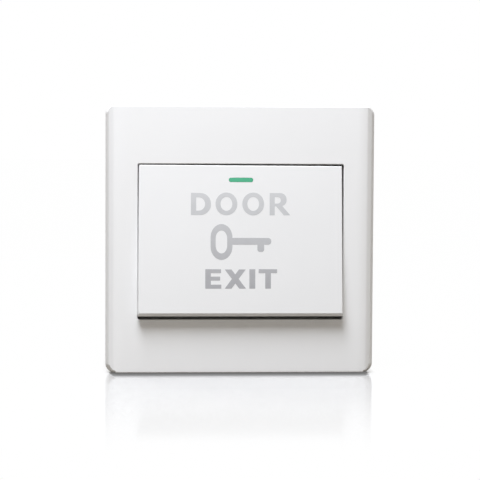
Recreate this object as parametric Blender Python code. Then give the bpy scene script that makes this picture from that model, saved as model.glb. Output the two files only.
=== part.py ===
"""Door exit button for a flush wall box.

A clip-on face frame surrounds a sprung rocker. The rocker clips into a mounting yoke, and presses the
plunger of a changeover switch with three screw terminals behind the yoke.

Run it with: blender --background --python part.py
Lengths are metres. +Z is up, the front faces -Y, and y = 0 is the wall's surface.
"""

import math

import bmesh
import bpy
from mathutils import Vector

# Clearances that the pieces keep to each other
SEAT_GAP = 0.0003
RIVET_GAP = 0.0001
RUNNING_GAP = 0.0002
CUT_MARGIN = 0.0010
OVERLAP = 0.0004

# Face frame
PLATE_SIDE = 0.0860
PLATE_CORNER_RADIUS = 0.0024
FRAME_DEPTH = 0.0090
FRAME_SIDE_WALL = 0.0018
FRAME_FRONT_WALL = 0.0020
FRAME_EDGE_RADIUS = 0.00035
SHOULDER_WIDTH = 0.0034
SHOULDER_DROP = 0.0006
FLANK_WIDTH = 0.0015
FLANK_DROP = 0.0018
OPENING_WIDTH = 0.0669
OPENING_HEIGHT = 0.0507
OPENING_DROP = 0.00045
OPENING_CORNER_RADIUS = 0.0006
COLLAR_WALL = 0.0012
COLLAR_DEPTH = 0.0045
PRY_NOTCH_WIDTH = 0.0080
PRY_NOTCH_DEPTH = 0.0012
FRAME_RIB_THICKNESS = 0.0010
FRAME_RIB_DEPTH = 0.0012
RIB_PITCH = 0.0280
SIDE_RIB_PITCH = 0.0200

# Snap catches that hold the frame to the yoke
CATCH_LENGTH = 0.0080
CATCH_REACH = 0.0012
CATCH_THICKNESS = 0.0009
CATCH_HEIGHT = 0.0260

# Rocker, measured as it stands when fully pressed, parallel to the frame
PRESS_ANGLE = math.radians(5.0)
SIDE_GAP = 0.0003
TOP_GAP = 0.00075
BOTTOM_GAP = 0.0009
ROCKER_PROUD = 0.0003
ROCKER_CORNER_RADIUS = 0.0008
ROCKER_FRONT_WALL = 0.0018
ROCKER_SKIRT_WALL = 0.0015
ROCKER_EDGE_RADIUS = 0.0004
ROCKER_CHAMFER_HEIGHT = 0.0009
ROCKER_CHAMFER_DEPTH = 0.0015
ROCKER_CHAMFER_RADIUS = 0.0002
SKIRT_CLEARANCE = 0.0005
SKIRT_RISE = 0.0012
ROCKER_RIB_THICKNESS = 0.0010
ROCKER_RIB_DEPTH = 0.0016

# Hinge of the rocker: pins on its two lugs, snapped into the yoke's ears
HINGE_FROM_TOP = 0.00465
HINGE_PROUD = 0.0046
HINGE_PIN_RADIUS = 0.0013
HINGE_PIN_LENGTH = 0.0023
LUG_RADIUS = 0.0019
LUG_THICKNESS = 0.0020
EAR_THICKNESS = 0.0022
EAR_SIDE_GAP = 0.0012
EAR_TOP_GAP = 0.00035
EAR_WRAP = 0.0018
EAR_MOUTH = 0.0022
MOUTH_FLARE = 0.0005

# Hooks at the rocker's foot, which stop it at rest behind the yoke
HOOK_X = 0.0180
HOOK_FROM_BOTTOM = 0.0040
HOOK_WIDTH = 0.0050
HOOK_THICKNESS = 0.0015
HOOK_BARB = 0.0010
HOOK_BARB_LENGTH = 0.0012
HOOK_WINDOW_CLEARANCE = 0.0004

# Presser under the rocker
PRESSER_WIDTH = 0.0120
PRESSER_THICKNESS = 0.0030

# Indicator insert in the rocker
INDICATOR_LENGTH = 0.0080
INDICATOR_WIDTH = 0.0015
INDICATOR_FROM_TOP = 0.0048
INDICATOR_FLANGE_MARGIN = 0.0011
INDICATOR_FLANGE_THICKNESS = 0.0008

# Mounting yoke
YOKE_EDGE_GAP = 0.0005
YOKE_THICKNESS = 0.0024
YOKE_CORNER_RADIUS = 0.0015
YOKE_RIM_WALL = 0.0012
YOKE_RIM_PROUD = 0.0052
FIXING_CENTRES = 0.0603
FIXING_SLOT_WIDTH = 0.0048
FIXING_SLOT_LENGTH = 0.0090
FIXING_PAD_MARGIN = 0.0016
FIXING_PAD_HEIGHT = 0.0008
BOSS_RADIUS = 0.0028
BOSS_PROUD = 0.0052
YOKE_RIB_PROUD = 0.0042
YOKE_POCKET_DEPTH = 0.0008
YOKE_POCKET_RADIUS = 0.0020
YOKE_WEB = 0.0030

# Switch housing
HOUSING_WIDTH = 0.0380
HOUSING_HEIGHT = 0.0270
HOUSING_CORNER_RADIUS = 0.0012
HOUSING_PROUD = 0.0042
HOUSING_BACK = 0.0135
HOUSING_WALL = 0.0016
HOUSING_FLANGE_MARGIN = 0.0020
HOUSING_FLANGE_THICKNESS = 0.0018
HOUSING_EAR_WIDTH = 0.0080
HOUSING_SCREW_OFFSET = 0.0032

# Terminal base
BASE_BACK = 0.0240
BASE_FLOOR = 0.0120
BAY_FLOOR = 0.0170
BAY_OUTER_WALL = 0.0025
BAY_BARRIER = 0.0015
BAY_ROOF = 0.0019
SNAP_WIDTH = 0.0050
SNAP_THICKNESS = 0.0012
SNAP_REACH = 0.0034
SNAP_BARB = 0.0016
SNAP_BARB_LENGTH = 0.0022
SNAP_HEIGHT = 0.0060

# Plunger and its two return springs
PLUNGER_HEIGHT = -0.0020
STEM_WIDTH = 0.0100
STEM_THICKNESS = 0.0060
FLANGE_SIDE_GAP = 0.0039
FLANGE_HEIGHT = 0.0090
FLANGE_THICKNESS = 0.0020
FOOT_SIZE = 0.0030
SPRING_INSET = 0.0040
SPRING_RADIUS = 0.0028
SPRING_WIRE = 0.00055
SPRING_TURNS = 6.5
SPRING_STEPS_PER_TURN = 12
PEG_RADIUS = 0.0017
PEG_LENGTH = 0.0020

# Changeover contacts
STRIP_THICKNESS = 0.0008
CONTACT_ARM_WIDTH = 0.0030
LEAF_THICKNESS = 0.0004
LEAF_ROOT_WIDTH = 0.0050
LEAF_TIP_WIDTH = 0.0034
LEAF_ROOT_DROP = 0.0025
LEAF_ROOT_REACH = 0.0020
LEAF_TIP_CLEARANCE = 0.0024
CONTACT_STROKE = 0.0016
CONTACT_RADIUS = 0.0014
CONTACT_HEAD = 0.0007
RIVET_SHANK_RADIUS = 0.0007
LEG_INSET = 0.0020
PLATE_STEP = 0.0010
TERMINAL_PLATE_TOP = 0.0042
TERMINAL_PLATE_END_GAP = 0.0045

# Terminal screws, their clamps and the housing's screws
TERMINAL_SCREW_RADIUS = 0.0015
TERMINAL_HEAD_HEIGHT = 0.0020
CLAMP_PLAY = 0.0024
CLAMP_THICKNESS = 0.0009
CLAMP_LIP = 0.0007
HOUSING_SCREW_RADIUS = 0.0012
HOUSING_HEAD_RADIUS = 0.0025
HOUSING_HEAD_HEIGHT = 0.0016
CROSS_SHARE = 0.62
CROSS_WIDTH_SHARE = 0.20
CROSS_DEPTH_SHARE = 0.55

# Facets
CORNER_STEPS = 5
ROUND_STEPS = 20
SHOULDER_STEPS = 4

# Levels that follow from the sizes above
HINGE_Y = -HINGE_PROUD
FRAME_FRONT_Y = -FRAME_DEPTH
FRAME_INNER_Y = FRAME_FRONT_Y + FRAME_FRONT_WALL
OPENING_TOP = OPENING_HEIGHT / 2 - OPENING_DROP
OPENING_BOTTOM = OPENING_TOP - OPENING_HEIGHT
ROCKER_WIDTH = OPENING_WIDTH - 2 * SIDE_GAP
ROCKER_TOP = OPENING_TOP - TOP_GAP
ROCKER_BOTTOM = OPENING_BOTTOM + BOTTOM_GAP
ROCKER_FRONT_Y = FRAME_FRONT_Y - ROCKER_PROUD
ROCKER_INNER_Y = ROCKER_FRONT_Y + ROCKER_FRONT_WALL
YOKE_FRONT_Y = -YOKE_THICKNESS
SKIRT_REAR_Y = YOKE_FRONT_Y - SKIRT_CLEARANCE
HINGE_HEIGHT = ROCKER_TOP - HINGE_FROM_TOP
HOOK_HEIGHT = ROCKER_BOTTOM + HOOK_FROM_BOTTOM
EAR_PROUD = HINGE_PROUD + EAR_WRAP
EAR_HALF_HEIGHT = HINGE_FROM_TOP - ROCKER_SKIRT_WALL - EAR_TOP_GAP
LUG_INNER_X = (ROCKER_WIDTH / 2 - ROCKER_SKIRT_WALL - EAR_SIDE_GAP - EAR_THICKNESS
               - SEAT_GAP - LUG_THICKNESS)
YOKE_SIDE = PLATE_SIDE - 2 * (FRAME_SIDE_WALL + YOKE_EDGE_GAP)
HOUSING_FRONT_Y = -HOUSING_PROUD
HOUSING_SCREW_X = HOUSING_WIDTH / 2 + HOUSING_SCREW_OFFSET
CHAMBER_HALF_X = HOUSING_WIDTH / 2 - HOUSING_WALL
CHAMBER_HALF_Z = HOUSING_HEIGHT / 2 - HOUSING_WALL
BAY_WIDTH = (HOUSING_WIDTH - 2 * BAY_OUTER_WALL - 2 * BAY_BARRIER) / 3
BAY_TOP = HOUSING_HEIGHT / 2 - BAY_ROOF
CHAMBER_FRONT_Y = HOUSING_FRONT_Y + HOUSING_WALL
FLANGE_FRONT_Y = CHAMBER_FRONT_Y + SEAT_GAP
FLANGE_REAR_Y = FLANGE_FRONT_Y + FLANGE_THICKNESS
FLANGE_WIDTH = 2 * (CHAMBER_HALF_X - FLANGE_SIDE_GAP)
SPRING_X = FLANGE_WIDTH / 2 - SPRING_INSET
PLUNGER_ARM = HINGE_HEIGHT - PLUNGER_HEIGHT
PLUNGER_STROKE = PLUNGER_ARM * math.sin(PRESS_ANGLE)
PLUNGER_NOSE_Y = HOUSING_FRONT_Y - PLUNGER_STROKE - SEAT_GAP
PRESSER_TIP_Y = HOUSING_FRONT_Y - 2 * SEAT_GAP
COM_LEG_HEIGHT = BAY_TOP - SEAT_GAP - STRIP_THICKNESS
LEAF_ROOT_HEIGHT = COM_LEG_HEIGHT - LEAF_ROOT_DROP
LEAF_TIP_HEIGHT = LEAF_TIP_CLEARANCE - CHAMBER_HALF_Z
FIXED_NO_Y = BASE_FLOOR - SEAT_GAP - STRIP_THICKNESS
LEAF_REST_Y = FIXED_NO_Y - 2 * CONTACT_HEAD - 2 * RIVET_GAP - CONTACT_STROKE - LEAF_THICKNESS / 2
FIXED_NC_Y = LEAF_REST_Y - LEAF_THICKNESS / 2 - 2 * CONTACT_HEAD - 3 * RIVET_GAP - STRIP_THICKNESS
LEAF_LENGTH = LEAF_ROOT_HEIGHT - LEAF_TIP_HEIGHT
LEAF_SWING = math.asin((CONTACT_STROKE - 2 * RIVET_GAP) / LEAF_LENGTH)
FOOT_ARM = LEAF_ROOT_HEIGHT - PLUNGER_HEIGHT - FOOT_SIZE / 2
FOOT_END_Y = (LEAF_REST_Y - LEAF_THICKNESS / 2 + FOOT_ARM * math.sin(LEAF_SWING)
              - RIVET_GAP - PLUNGER_STROKE)
COM_TAB_Y = LEAF_REST_Y + LEAF_THICKNESS / 2 + SEAT_GAP
TERMINAL_PLATE_Y = BAY_FLOOR + RIVET_GAP
CLAMP_Y = TERMINAL_PLATE_Y + STRIP_THICKNESS + RIVET_GAP
TERMINAL_PITCH = BAY_WIDTH + BAY_BARRIER
TERMINAL_PLATE_BOTTOM = TERMINAL_PLATE_END_GAP - HOUSING_HEIGHT / 2
LEG_X = TERMINAL_PITCH + LEG_INSET
CLAMP_SIDE = BAY_WIDTH - CLAMP_PLAY
PLATE_WIDTH = CLAMP_SIDE - PLATE_STEP
TERMINAL_HEAD_RADIUS = CLAMP_SIDE / 2 - CLAMP_THICKNESS


def clear_scene():
    """Removes the startup scene's objects."""
    for obj in list(bpy.data.objects):
        bpy.data.objects.remove(obj, do_unlink=True)


def make_material(name, colour, roughness, metallic=0.0):
    """A Principled BSDF material of one colour."""
    made = bpy.data.materials.new(name)
    made.use_nodes = True
    shader = made.node_tree.nodes["Principled BSDF"]
    shader.inputs["Base Color"].default_value = (*colour, 1.0)
    shader.inputs["Roughness"].default_value = roughness
    shader.inputs["Metallic"].default_value = metallic
    made.diffuse_color = (*colour, 1.0)
    return made


# Outlines, as lists of two-dimensional points that run anticlockwise

def arc(centre, radius, start, end, steps):
    """Points on an arc, both ends included. Angles are in degrees."""
    angles = [math.radians(start + (end - start) * i / steps) for i in range(steps + 1)]
    return [(centre[0] + radius * math.cos(a), centre[1] + radius * math.sin(a)) for a in angles]


def circle(radius, centre=(0.0, 0.0), steps=ROUND_STEPS):
    """A whole circle."""
    return arc(centre, radius, 0, 360, steps)[:-1]


def rectangle(left, right, bottom, top):
    """A plain rectangle between four sides."""
    return [(left, bottom), (right, bottom), (right, top), (left, top)]


def rounded_rectangle(left, right, bottom, top, radius, steps=CORNER_STEPS):
    """A rectangle with four round corners."""
    points = arc((right - radius, bottom + radius), radius, -90, 0, steps)
    points += arc((right - radius, top - radius), radius, 0, 90, steps)
    points += arc((left + radius, top - radius), radius, 90, 180, steps)
    points += arc((left + radius, bottom + radius), radius, 180, 270, steps)
    return points


def centred(width, height, radius):
    """A rounded rectangle about the origin."""
    return rounded_rectangle(-width / 2, width / 2, -height / 2, height / 2, radius)


def stadium(length, width, centre=(0.0, 0.0), upright=False):
    """A slot's outline with half-round ends, lying or upright."""
    reach = (length - width) / 2
    points = arc((reach, 0), width / 2, -90, 90, ROUND_STEPS // 2)
    points += arc((-reach, 0), width / 2, 90, 270, ROUND_STEPS // 2)
    if upright:
        points = [(-v, u) for u, v in points]
    return [(centre[0] + u, centre[1] + v) for u, v in points]


def rounded_path(points, radius, steps=3):
    """A path whose inner corners are replaced by arcs that touch both of their lines."""
    path = [Vector(points[0])]
    for before, corner, after in zip(points, points[1:], points[2:]):
        corner = Vector(corner)
        back = (Vector(before) - corner).normalized()
        on = (Vector(after) - corner).normalized()
        half = back.angle(on) / 2
        centre = corner + (back + on).normalized() * radius / math.sin(half)
        first = corner + back * radius / math.tan(half) - centre
        sweep = first.angle_signed(corner + on * radius / math.tan(half) - centre)
        for i in range(steps + 1):
            turn = -sweep * i / steps
            path.append(centre + Vector((first.x * math.cos(turn) - first.y * math.sin(turn),
                                         first.x * math.sin(turn) + first.y * math.cos(turn))))
    path.append(Vector(points[-1]))
    return path


def strip_outline(points, thickness, bend_radius):
    """The edge of a flat strip folded along a path, half its thickness to each side of it."""
    path = rounded_path(points, bend_radius)
    left, right = [], []
    for i, point in enumerate(path):
        before = (point - path[i - 1]).normalized() if i else (path[1] - point).normalized()
        after = (path[i + 1] - point).normalized() if i + 1 < len(path) else before
        along = (before + after).normalized()
        across = Vector((-along.y, along.x)) * thickness / 2 / along.dot(before)
        left.append(tuple(point + across))
        right.append(tuple(point - across))
    return right + left[::-1]


# Meshes

def point_on(axis, u, v, w):
    """The 3D point at (u, v) of an outline, w along the axis that the outline is extruded along."""
    return {"X": (w, u, v), "Y": (u, w, v), "Z": (u, v, w)}[axis]


def finished(bm, name):
    """The bmesh as a mesh datablock whose faces point out."""
    bmesh.ops.recalc_face_normals(bm, faces=bm.faces)
    mesh = bpy.data.meshes.new(name)
    bm.to_mesh(mesh)
    bm.free()
    return mesh


def prism_bmesh(outline, axis, start, end):
    """An outline extruded along an axis, from start to end."""
    bm = bmesh.new()
    face = bm.faces.new([bm.verts.new(point_on(axis, u, v, start)) for u, v in outline])
    grown = bmesh.ops.extrude_face_region(bm, geom=[face])
    moved = [item for item in grown["geom"] if isinstance(item, bmesh.types.BMVert)]
    bmesh.ops.translate(bm, verts=moved, vec=point_on(axis, 0, 0, end - start))
    return bm


def prism(outline, axis, start, end):
    """The mesh of an extruded outline."""
    return finished(prism_bmesh(outline, axis, start, end), "prism")


def block(x, y, z):
    """A box between two limits on each axis."""
    return prism(rectangle(x[0], x[1], z[0], z[1]), "Y", y[0], y[1])


def turned(profile, steps=ROUND_STEPS):
    """A profile of (radius, y) points turned about the Y axis. It starts and ends on the axis."""
    bm = bmesh.new()
    points = [bm.verts.new((radius, y, 0)) for radius, y in profile]
    edges = [bm.edges.new(pair) for pair in zip(points, points[1:])]
    bmesh.ops.spin(bm, geom=points + edges, axis=(0, 1, 0), cent=(0, 0, 0), steps=steps,
                   angle=2 * math.pi, use_merge=True)
    bmesh.ops.remove_doubles(bm, verts=bm.verts, dist=1e-6)
    return finished(bm, "turned")


# Objects

def add_object(name, mesh, material=None, parent=None, location=(0, 0, 0)):
    """A named object in the scene, with one material, placed in its parent's space."""
    obj = bpy.data.objects.new(name, mesh)
    bpy.context.collection.objects.link(obj)
    obj.parent = parent
    obj.location = location
    if material:
        mesh.materials.append(material)
    return obj


def add_pivot(name, location, parent=None):
    """An empty that carries the pieces of one assembly."""
    return add_object(name, None, parent=parent, location=location)


def shape_with(obj, mesh, operation):
    """Adds a Boolean to obj with a hidden helper, whose mesh is in obj's own space."""
    helper = add_object(obj.name + "_" + operation.lower(), mesh, parent=obj)
    helper.hide_render = True
    helper.display_type = "WIRE"
    boolean = obj.modifiers.new(helper.name, "BOOLEAN")
    boolean.operation = operation
    boolean.solver = "EXACT"
    boolean.object = helper


def cut(obj, mesh):
    """Takes a mesh away from obj."""
    shape_with(obj, mesh, "DIFFERENCE")


def join(obj, mesh):
    """Adds a mesh to obj as one body."""
    shape_with(obj, mesh, "UNION")


def bevel_edges(obj, width, segments, share_of):
    """Rounds each edge to share_of(edge) times width. It goes on before any Boolean."""
    bm = bmesh.new()
    bm.from_mesh(obj.data)
    layer = bm.edges.layers.float.new("bevel_weight_edge")
    for edge in bm.edges:
        edge[layer] = share_of(edge)
    bm.to_mesh(obj.data)
    bm.free()
    bevel = obj.modifiers.new("edge_radius", "BEVEL")
    bevel.limit_method = "WEIGHT"
    bevel.width = width
    bevel.segments = segments


def shade_round(obj, angle=30):
    """Smooth shading, with edges sharper than the angle kept sharp."""
    obj.data.shade_smooth()
    obj.data.set_sharp_from_angle(angle=math.radians(angle))


# Face frame

def frame_height(x):
    """How far the frame's front stands off the wall at x: flat, then a soft shoulder, then the flank."""
    flank_start = PLATE_SIDE / 2 - FLANK_WIDTH
    shoulder_start = flank_start - SHOULDER_WIDTH
    shoulder_share = min(max((abs(x) - shoulder_start) / SHOULDER_WIDTH, 0.0), 1.0)
    flank_share = max((abs(x) - flank_start) / FLANK_WIDTH, 0.0)
    return FRAME_DEPTH - SHOULDER_DROP * shoulder_share ** 2 - FLANK_DROP * flank_share


def frame_blank():
    """The frame's outer body: a rounded square whose front falls off towards its left and right sides."""
    bm = prism_bmesh(centred(PLATE_SIDE, PLATE_SIDE, PLATE_CORNER_RADIUS), "Y", 0, FRAME_FRONT_Y)
    bm.faces.ensure_lookup_table()
    shoulder_start = PLATE_SIDE / 2 - FLANK_WIDTH - SHOULDER_WIDTH
    stations = [shoulder_start + SHOULDER_WIDTH * i / SHOULDER_STEPS for i in range(SHOULDER_STEPS + 1)]
    for x in stations + [-x for x in stations]:
        front = [f for f in bm.faces if all(abs(v.co.y - FRAME_FRONT_Y) < 1e-7 for v in f.verts)]
        around = {e for f in front for e in f.edges} | {v for f in front for v in f.verts}
        bmesh.ops.bisect_plane(bm, geom=front + list(around), plane_co=(x, 0, 0), plane_no=(1, 0, 0))
    for vert in bm.verts:
        if vert.co.y < FRAME_FRONT_Y / 2:
            vert.co.y = -frame_height(vert.co.x)
    return finished(bm, "frame_blank")


def frame_edge_share(edge):
    """Rounds the front's whole outline, and softens the crease between shoulder and flank."""
    if any(vert.co.y > FRAME_FRONT_Y / 2 for vert in edge.verts):
        return 0.0
    faces_front = [face.normal.y < -0.2 for face in edge.link_faces]
    crease = PLATE_SIDE / 2 - FLANK_WIDTH
    if all(faces_front):
        on_crease = all(abs(abs(vert.co.x) - crease) < 1e-6 for vert in edge.verts)
        return 0.5 if on_crease else 0.0
    return 1.0


def make_face_frame(material):
    """The outer trim: a shallow shell with the rocker's opening, a collar round it and four snap catches."""
    frame = add_object("face_frame", frame_blank(), material)
    bevel_edges(frame, FRAME_EDGE_RADIUS, 2, frame_edge_share)
    pocket = PLATE_SIDE - 2 * FRAME_SIDE_WALL
    cut(frame, prism(centred(pocket, pocket, PLATE_CORNER_RADIUS / 2), "Y", CUT_MARGIN, FRAME_INNER_Y))
    collar_back = FRAME_FRONT_Y + COLLAR_DEPTH
    join(frame, prism(opening_outline(COLLAR_WALL), "Y", collar_back, FRAME_INNER_Y - OVERLAP))
    cut(frame, frame_opening())
    for rib in frame_ribs():
        join(frame, rib)
    for side in (-1, 1):
        for level in (-CATCH_HEIGHT, CATCH_HEIGHT):
            join(frame, catch(side, level))
    half = PRY_NOTCH_WIDTH / 2
    bottom = -PLATE_SIDE / 2
    cut(frame, block((-half, half), (-PRY_NOTCH_DEPTH, CUT_MARGIN),
                     (bottom - CUT_MARGIN, bottom + FRAME_SIDE_WALL + CUT_MARGIN)))
    shade_round(frame)


def opening_outline(margin=0.0):
    """The outline of the rocker's opening, or of what stands a margin outside it."""
    half = OPENING_WIDTH / 2 + margin
    return rounded_rectangle(-half, half, OPENING_BOTTOM - margin, OPENING_TOP + margin,
                             OPENING_CORNER_RADIUS + margin)


def frame_opening():
    """The cutter of the rocker's opening, which flares at the front so that its rim is rounded."""
    bm = prism_bmesh(opening_outline(), "Y", CUT_MARGIN, FRAME_FRONT_Y + FRAME_EDGE_RADIUS)
    front = [f for f in bm.faces if all(v.co.y < FRAME_FRONT_Y / 2 for v in f.verts)]
    flare = bmesh.ops.extrude_face_region(bm, geom=front)
    grown = [item for item in flare["geom"] if isinstance(item, bmesh.types.BMVert)]
    bmesh.ops.delete(bm, geom=front, context="FACES_ONLY")
    spread = 2 * FRAME_EDGE_RADIUS
    for vert in grown:
        vert.co.x += math.copysign(spread, vert.co.x)
        vert.co.z += math.copysign(spread, vert.co.z)
        vert.co.y -= spread
    return finished(bm, "opening")


def ribs_round_opening(thickness, start_gap, end, y):
    """Short ribs from round the collar out to a square wall, on all four sides, as meshes."""
    ribs = []
    for side in (-1, 1):
        height = OPENING_TOP if side > 0 else -OPENING_BOTTOM
        for step, pitch, reach, upright in ((-1, RIB_PITCH, height, True),
                                            (0, RIB_PITCH, height, True),
                                            (1, RIB_PITCH, height, True),
                                            (-0.5, SIDE_RIB_PITCH, OPENING_WIDTH / 2, False),
                                            (0.5, SIDE_RIB_PITCH, OPENING_WIDTH / 2, False)):
            along = (step * pitch - thickness / 2, step * pitch + thickness / 2)
            out = sorted((side * (reach + COLLAR_WALL + start_gap), side * end))
            x, z = (along, out) if upright else (out, along)
            ribs.append(block(x, y, z))
    return ribs


def frame_ribs():
    """The frame's stiffening ribs, from its collar to its side walls."""
    return ribs_round_opening(FRAME_RIB_THICKNESS, -OVERLAP, PLATE_SIDE / 2 - FRAME_SIDE_WALL + OVERLAP,
                              (FRAME_INNER_Y - OVERLAP, FRAME_INNER_Y + FRAME_RIB_DEPTH))


def catch(side, level):
    """One snap catch: a ramp inside the frame's side wall, with its step towards the front."""
    wall = PLATE_SIDE / 2 - FRAME_SIDE_WALL
    tip = wall - CATCH_REACH
    back = -SEAT_GAP
    front = back - CATCH_THICKNESS
    outline = [(side * (wall + OVERLAP), front), (side * tip, front),
               (side * tip, front + CATCH_THICKNESS / 3), (side * (wall + OVERLAP), back)]
    return prism(outline, "Z", level - CATCH_LENGTH / 2, level + CATCH_LENGTH / 2)


# Rocker and its indicator. Their space has the hinge axis as its X axis.

def from_hinge(y=0.0, z=0.0):
    """A level in the wall's space as (y, z) from the hinge axis."""
    return y - HINGE_Y, z - HINGE_HEIGHT


def skirt_rear(z):
    """The y of the skirt's rear rim at height z, from the hinge axis. The rim slopes, to clear the yoke."""
    bottom = ROCKER_BOTTOM - HINGE_HEIGHT
    top = ROCKER_TOP - HINGE_HEIGHT
    return SKIRT_REAR_Y - HINGE_Y - SKIRT_RISE * (z - bottom) / (top - bottom)


def rocker_blank():
    """The rocker's outer body: its side profile, with the chamfer that a finger presses, drawn out in x."""
    front, bottom = from_hinge(ROCKER_FRONT_Y, ROCKER_BOTTOM)
    top = ROCKER_TOP - HINGE_HEIGHT
    profile = [(front, bottom + ROCKER_CHAMFER_HEIGHT), (front + ROCKER_CHAMFER_DEPTH, bottom),
               (skirt_rear(bottom), bottom), (skirt_rear(top), top), (front, top)]
    return prism(profile, "X", -ROCKER_WIDTH / 2, ROCKER_WIDTH / 2)


def rocker_edge_share(edge):
    """Each edge's radius as a share of the corner radius: corners, front edges, then the chamfer's."""
    front, bottom = from_hinge(ROCKER_FRONT_Y, ROCKER_BOTTOM)
    first, second = (vert.co for vert in edge.verts)
    chamfer_rear = front + ROCKER_CHAMFER_DEPTH
    runs_across = abs(first.x - second.x) > ROCKER_CORNER_RADIUS
    if min(first.y, second.y) > chamfer_rear + OVERLAP or (runs_across and first.y > chamfer_rear + OVERLAP):
        return 0.0
    if runs_across:
        low = first.z < bottom + 2 * ROCKER_CHAMFER_HEIGHT
        return (ROCKER_CHAMFER_RADIUS if low else ROCKER_EDGE_RADIUS) / ROCKER_CORNER_RADIUS
    on_front = abs(first.y - front) < OVERLAP and abs(second.y - front) < OVERLAP
    return ROCKER_EDGE_RADIUS / ROCKER_CORNER_RADIUS if on_front else 1.0


def make_rocker(material):
    """The key: a shallow shell with hinge lugs near its top, stop hooks at its foot and the presser."""
    rocker = add_object("rocker", rocker_blank(), material, location=(0, HINGE_Y, HINGE_HEIGHT))
    rocker.rotation_euler.x = -PRESS_ANGLE
    bevel_edges(rocker, ROCKER_CORNER_RADIUS, 3, rocker_edge_share)
    inner_y, bottom = from_hinge(ROCKER_INNER_Y, ROCKER_BOTTOM)
    top = ROCKER_TOP - HINGE_HEIGHT
    side = ROCKER_WIDTH / 2 - ROCKER_SKIRT_WALL
    hollow = rounded_rectangle(-side, side, bottom + ROCKER_SKIRT_WALL, top - ROCKER_SKIRT_WALL,
                               ROCKER_CORNER_RADIUS)
    cut(rocker, prism(hollow, "Y", inner_y, skirt_rear(bottom) + CUT_MARGIN))
    for x in (-HOOK_X, 0, HOOK_X):
        half = ROCKER_RIB_THICKNESS / 2
        rib_top = top - INDICATOR_FROM_TOP - INDICATOR_WIDTH - INDICATOR_FLANGE_MARGIN - CUT_MARGIN
        join(rocker, block((x - half, x + half), (inner_y - OVERLAP, inner_y + ROCKER_RIB_DEPTH),
                           (bottom + ROCKER_SKIRT_WALL - OVERLAP, rib_top)))
    join(rocker, presser(inner_y))
    for side in (-1, 1):
        join(rocker, hinge_lug(side, inner_y))
        join(rocker, hinge_pin(side))
        join(rocker, stop_hook(side * HOOK_X, inner_y))
    window = stadium(INDICATOR_LENGTH, INDICATOR_WIDTH, (0, top - INDICATOR_FROM_TOP))
    cut(rocker, prism(window, "Y", inner_y + CUT_MARGIN, inner_y - ROCKER_FRONT_WALL - CUT_MARGIN))
    shade_round(rocker)
    return rocker


def presser(inner_y):
    """The pad that pushes the plunger. Its end is a half round, so that it rolls on the plunger's nose."""
    tip, level = from_hinge(PRESSER_TIP_Y, PLUNGER_HEIGHT)
    radius = PRESSER_THICKNESS / 2
    outline = [(inner_y - OVERLAP, level - radius)]
    outline += arc((tip - radius, level), radius, -90, 90, CORNER_STEPS + 1)
    outline += [(inner_y - OVERLAP, level + radius)]
    return prism(outline, "X", -PRESSER_WIDTH / 2, PRESSER_WIDTH / 2)


def hinge_lug(side, inner_y):
    """The lug that carries one hinge pin, round about the hinge axis."""
    outline = [(inner_y - OVERLAP, -LUG_RADIUS)]
    outline += arc((0, 0), LUG_RADIUS, -90, 90, 2 * CORNER_STEPS)
    outline += [(inner_y - OVERLAP, LUG_RADIUS)]
    return prism(outline, "X", side * LUG_INNER_X, side * (LUG_INNER_X + LUG_THICKNESS))


def hinge_pin(side):
    """One hinge pin, which points outwards from its lug."""
    root = LUG_INNER_X + LUG_THICKNESS
    return prism(circle(HINGE_PIN_RADIUS), "X", side * (root - OVERLAP), side * (root + HINGE_PIN_LENGTH))


def hook_levels():
    """The hook's (y of its barb's step, y of its end, lower face, upper face), from the hinge axis.

    At rest the barb's step lies a seat gap behind the yoke's rear face.
    """
    middle = HOOK_HEIGHT - HINGE_HEIGHT
    low = middle - HOOK_THICKNESS / 2 - HOOK_BARB
    step = (HINGE_PROUD + SEAT_GAP - low * math.sin(PRESS_ANGLE)) / math.cos(PRESS_ANGLE)
    return step, step + HOOK_BARB_LENGTH, middle - HOOK_THICKNESS / 2, middle + HOOK_THICKNESS / 2


def stop_hook(x, inner_y):
    """One hook at the rocker's foot, with its barb pointing down."""
    step, end, low, high = hook_levels()
    outline = [(inner_y - OVERLAP, low), (step, low), (step, low - HOOK_BARB),
               (step + HOOK_BARB_LENGTH / 3, low - HOOK_BARB), (end, low + HOOK_BARB / 2),
               (end, high), (inner_y - OVERLAP, high)]
    return prism(outline, "X", x - HOOK_WIDTH / 2, x + HOOK_WIDTH / 2)


def make_indicator(material, rocker):
    """The green insert that fills the rocker's slot from behind, with a flange inside."""
    level = ROCKER_TOP - HINGE_HEIGHT - INDICATOR_FROM_TOP
    front = ROCKER_FRONT_Y - HINGE_Y
    length = INDICATOR_LENGTH - 2 * RIVET_GAP
    width = INDICATOR_WIDTH - 2 * RIVET_GAP
    behind = ROCKER_FRONT_WALL + RIVET_GAP
    lens = add_object("indicator_lens", prism(stadium(length, width), "Y", 0, behind + OVERLAP),
                      material, rocker, (0, front, level))
    margin = 2 * INDICATOR_FLANGE_MARGIN
    flange = stadium(length + margin, width + margin)
    join(lens, prism(flange, "Y", behind, behind + INDICATOR_FLANGE_THICKNESS))
    shade_round(lens)


# Mounting yoke

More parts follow.
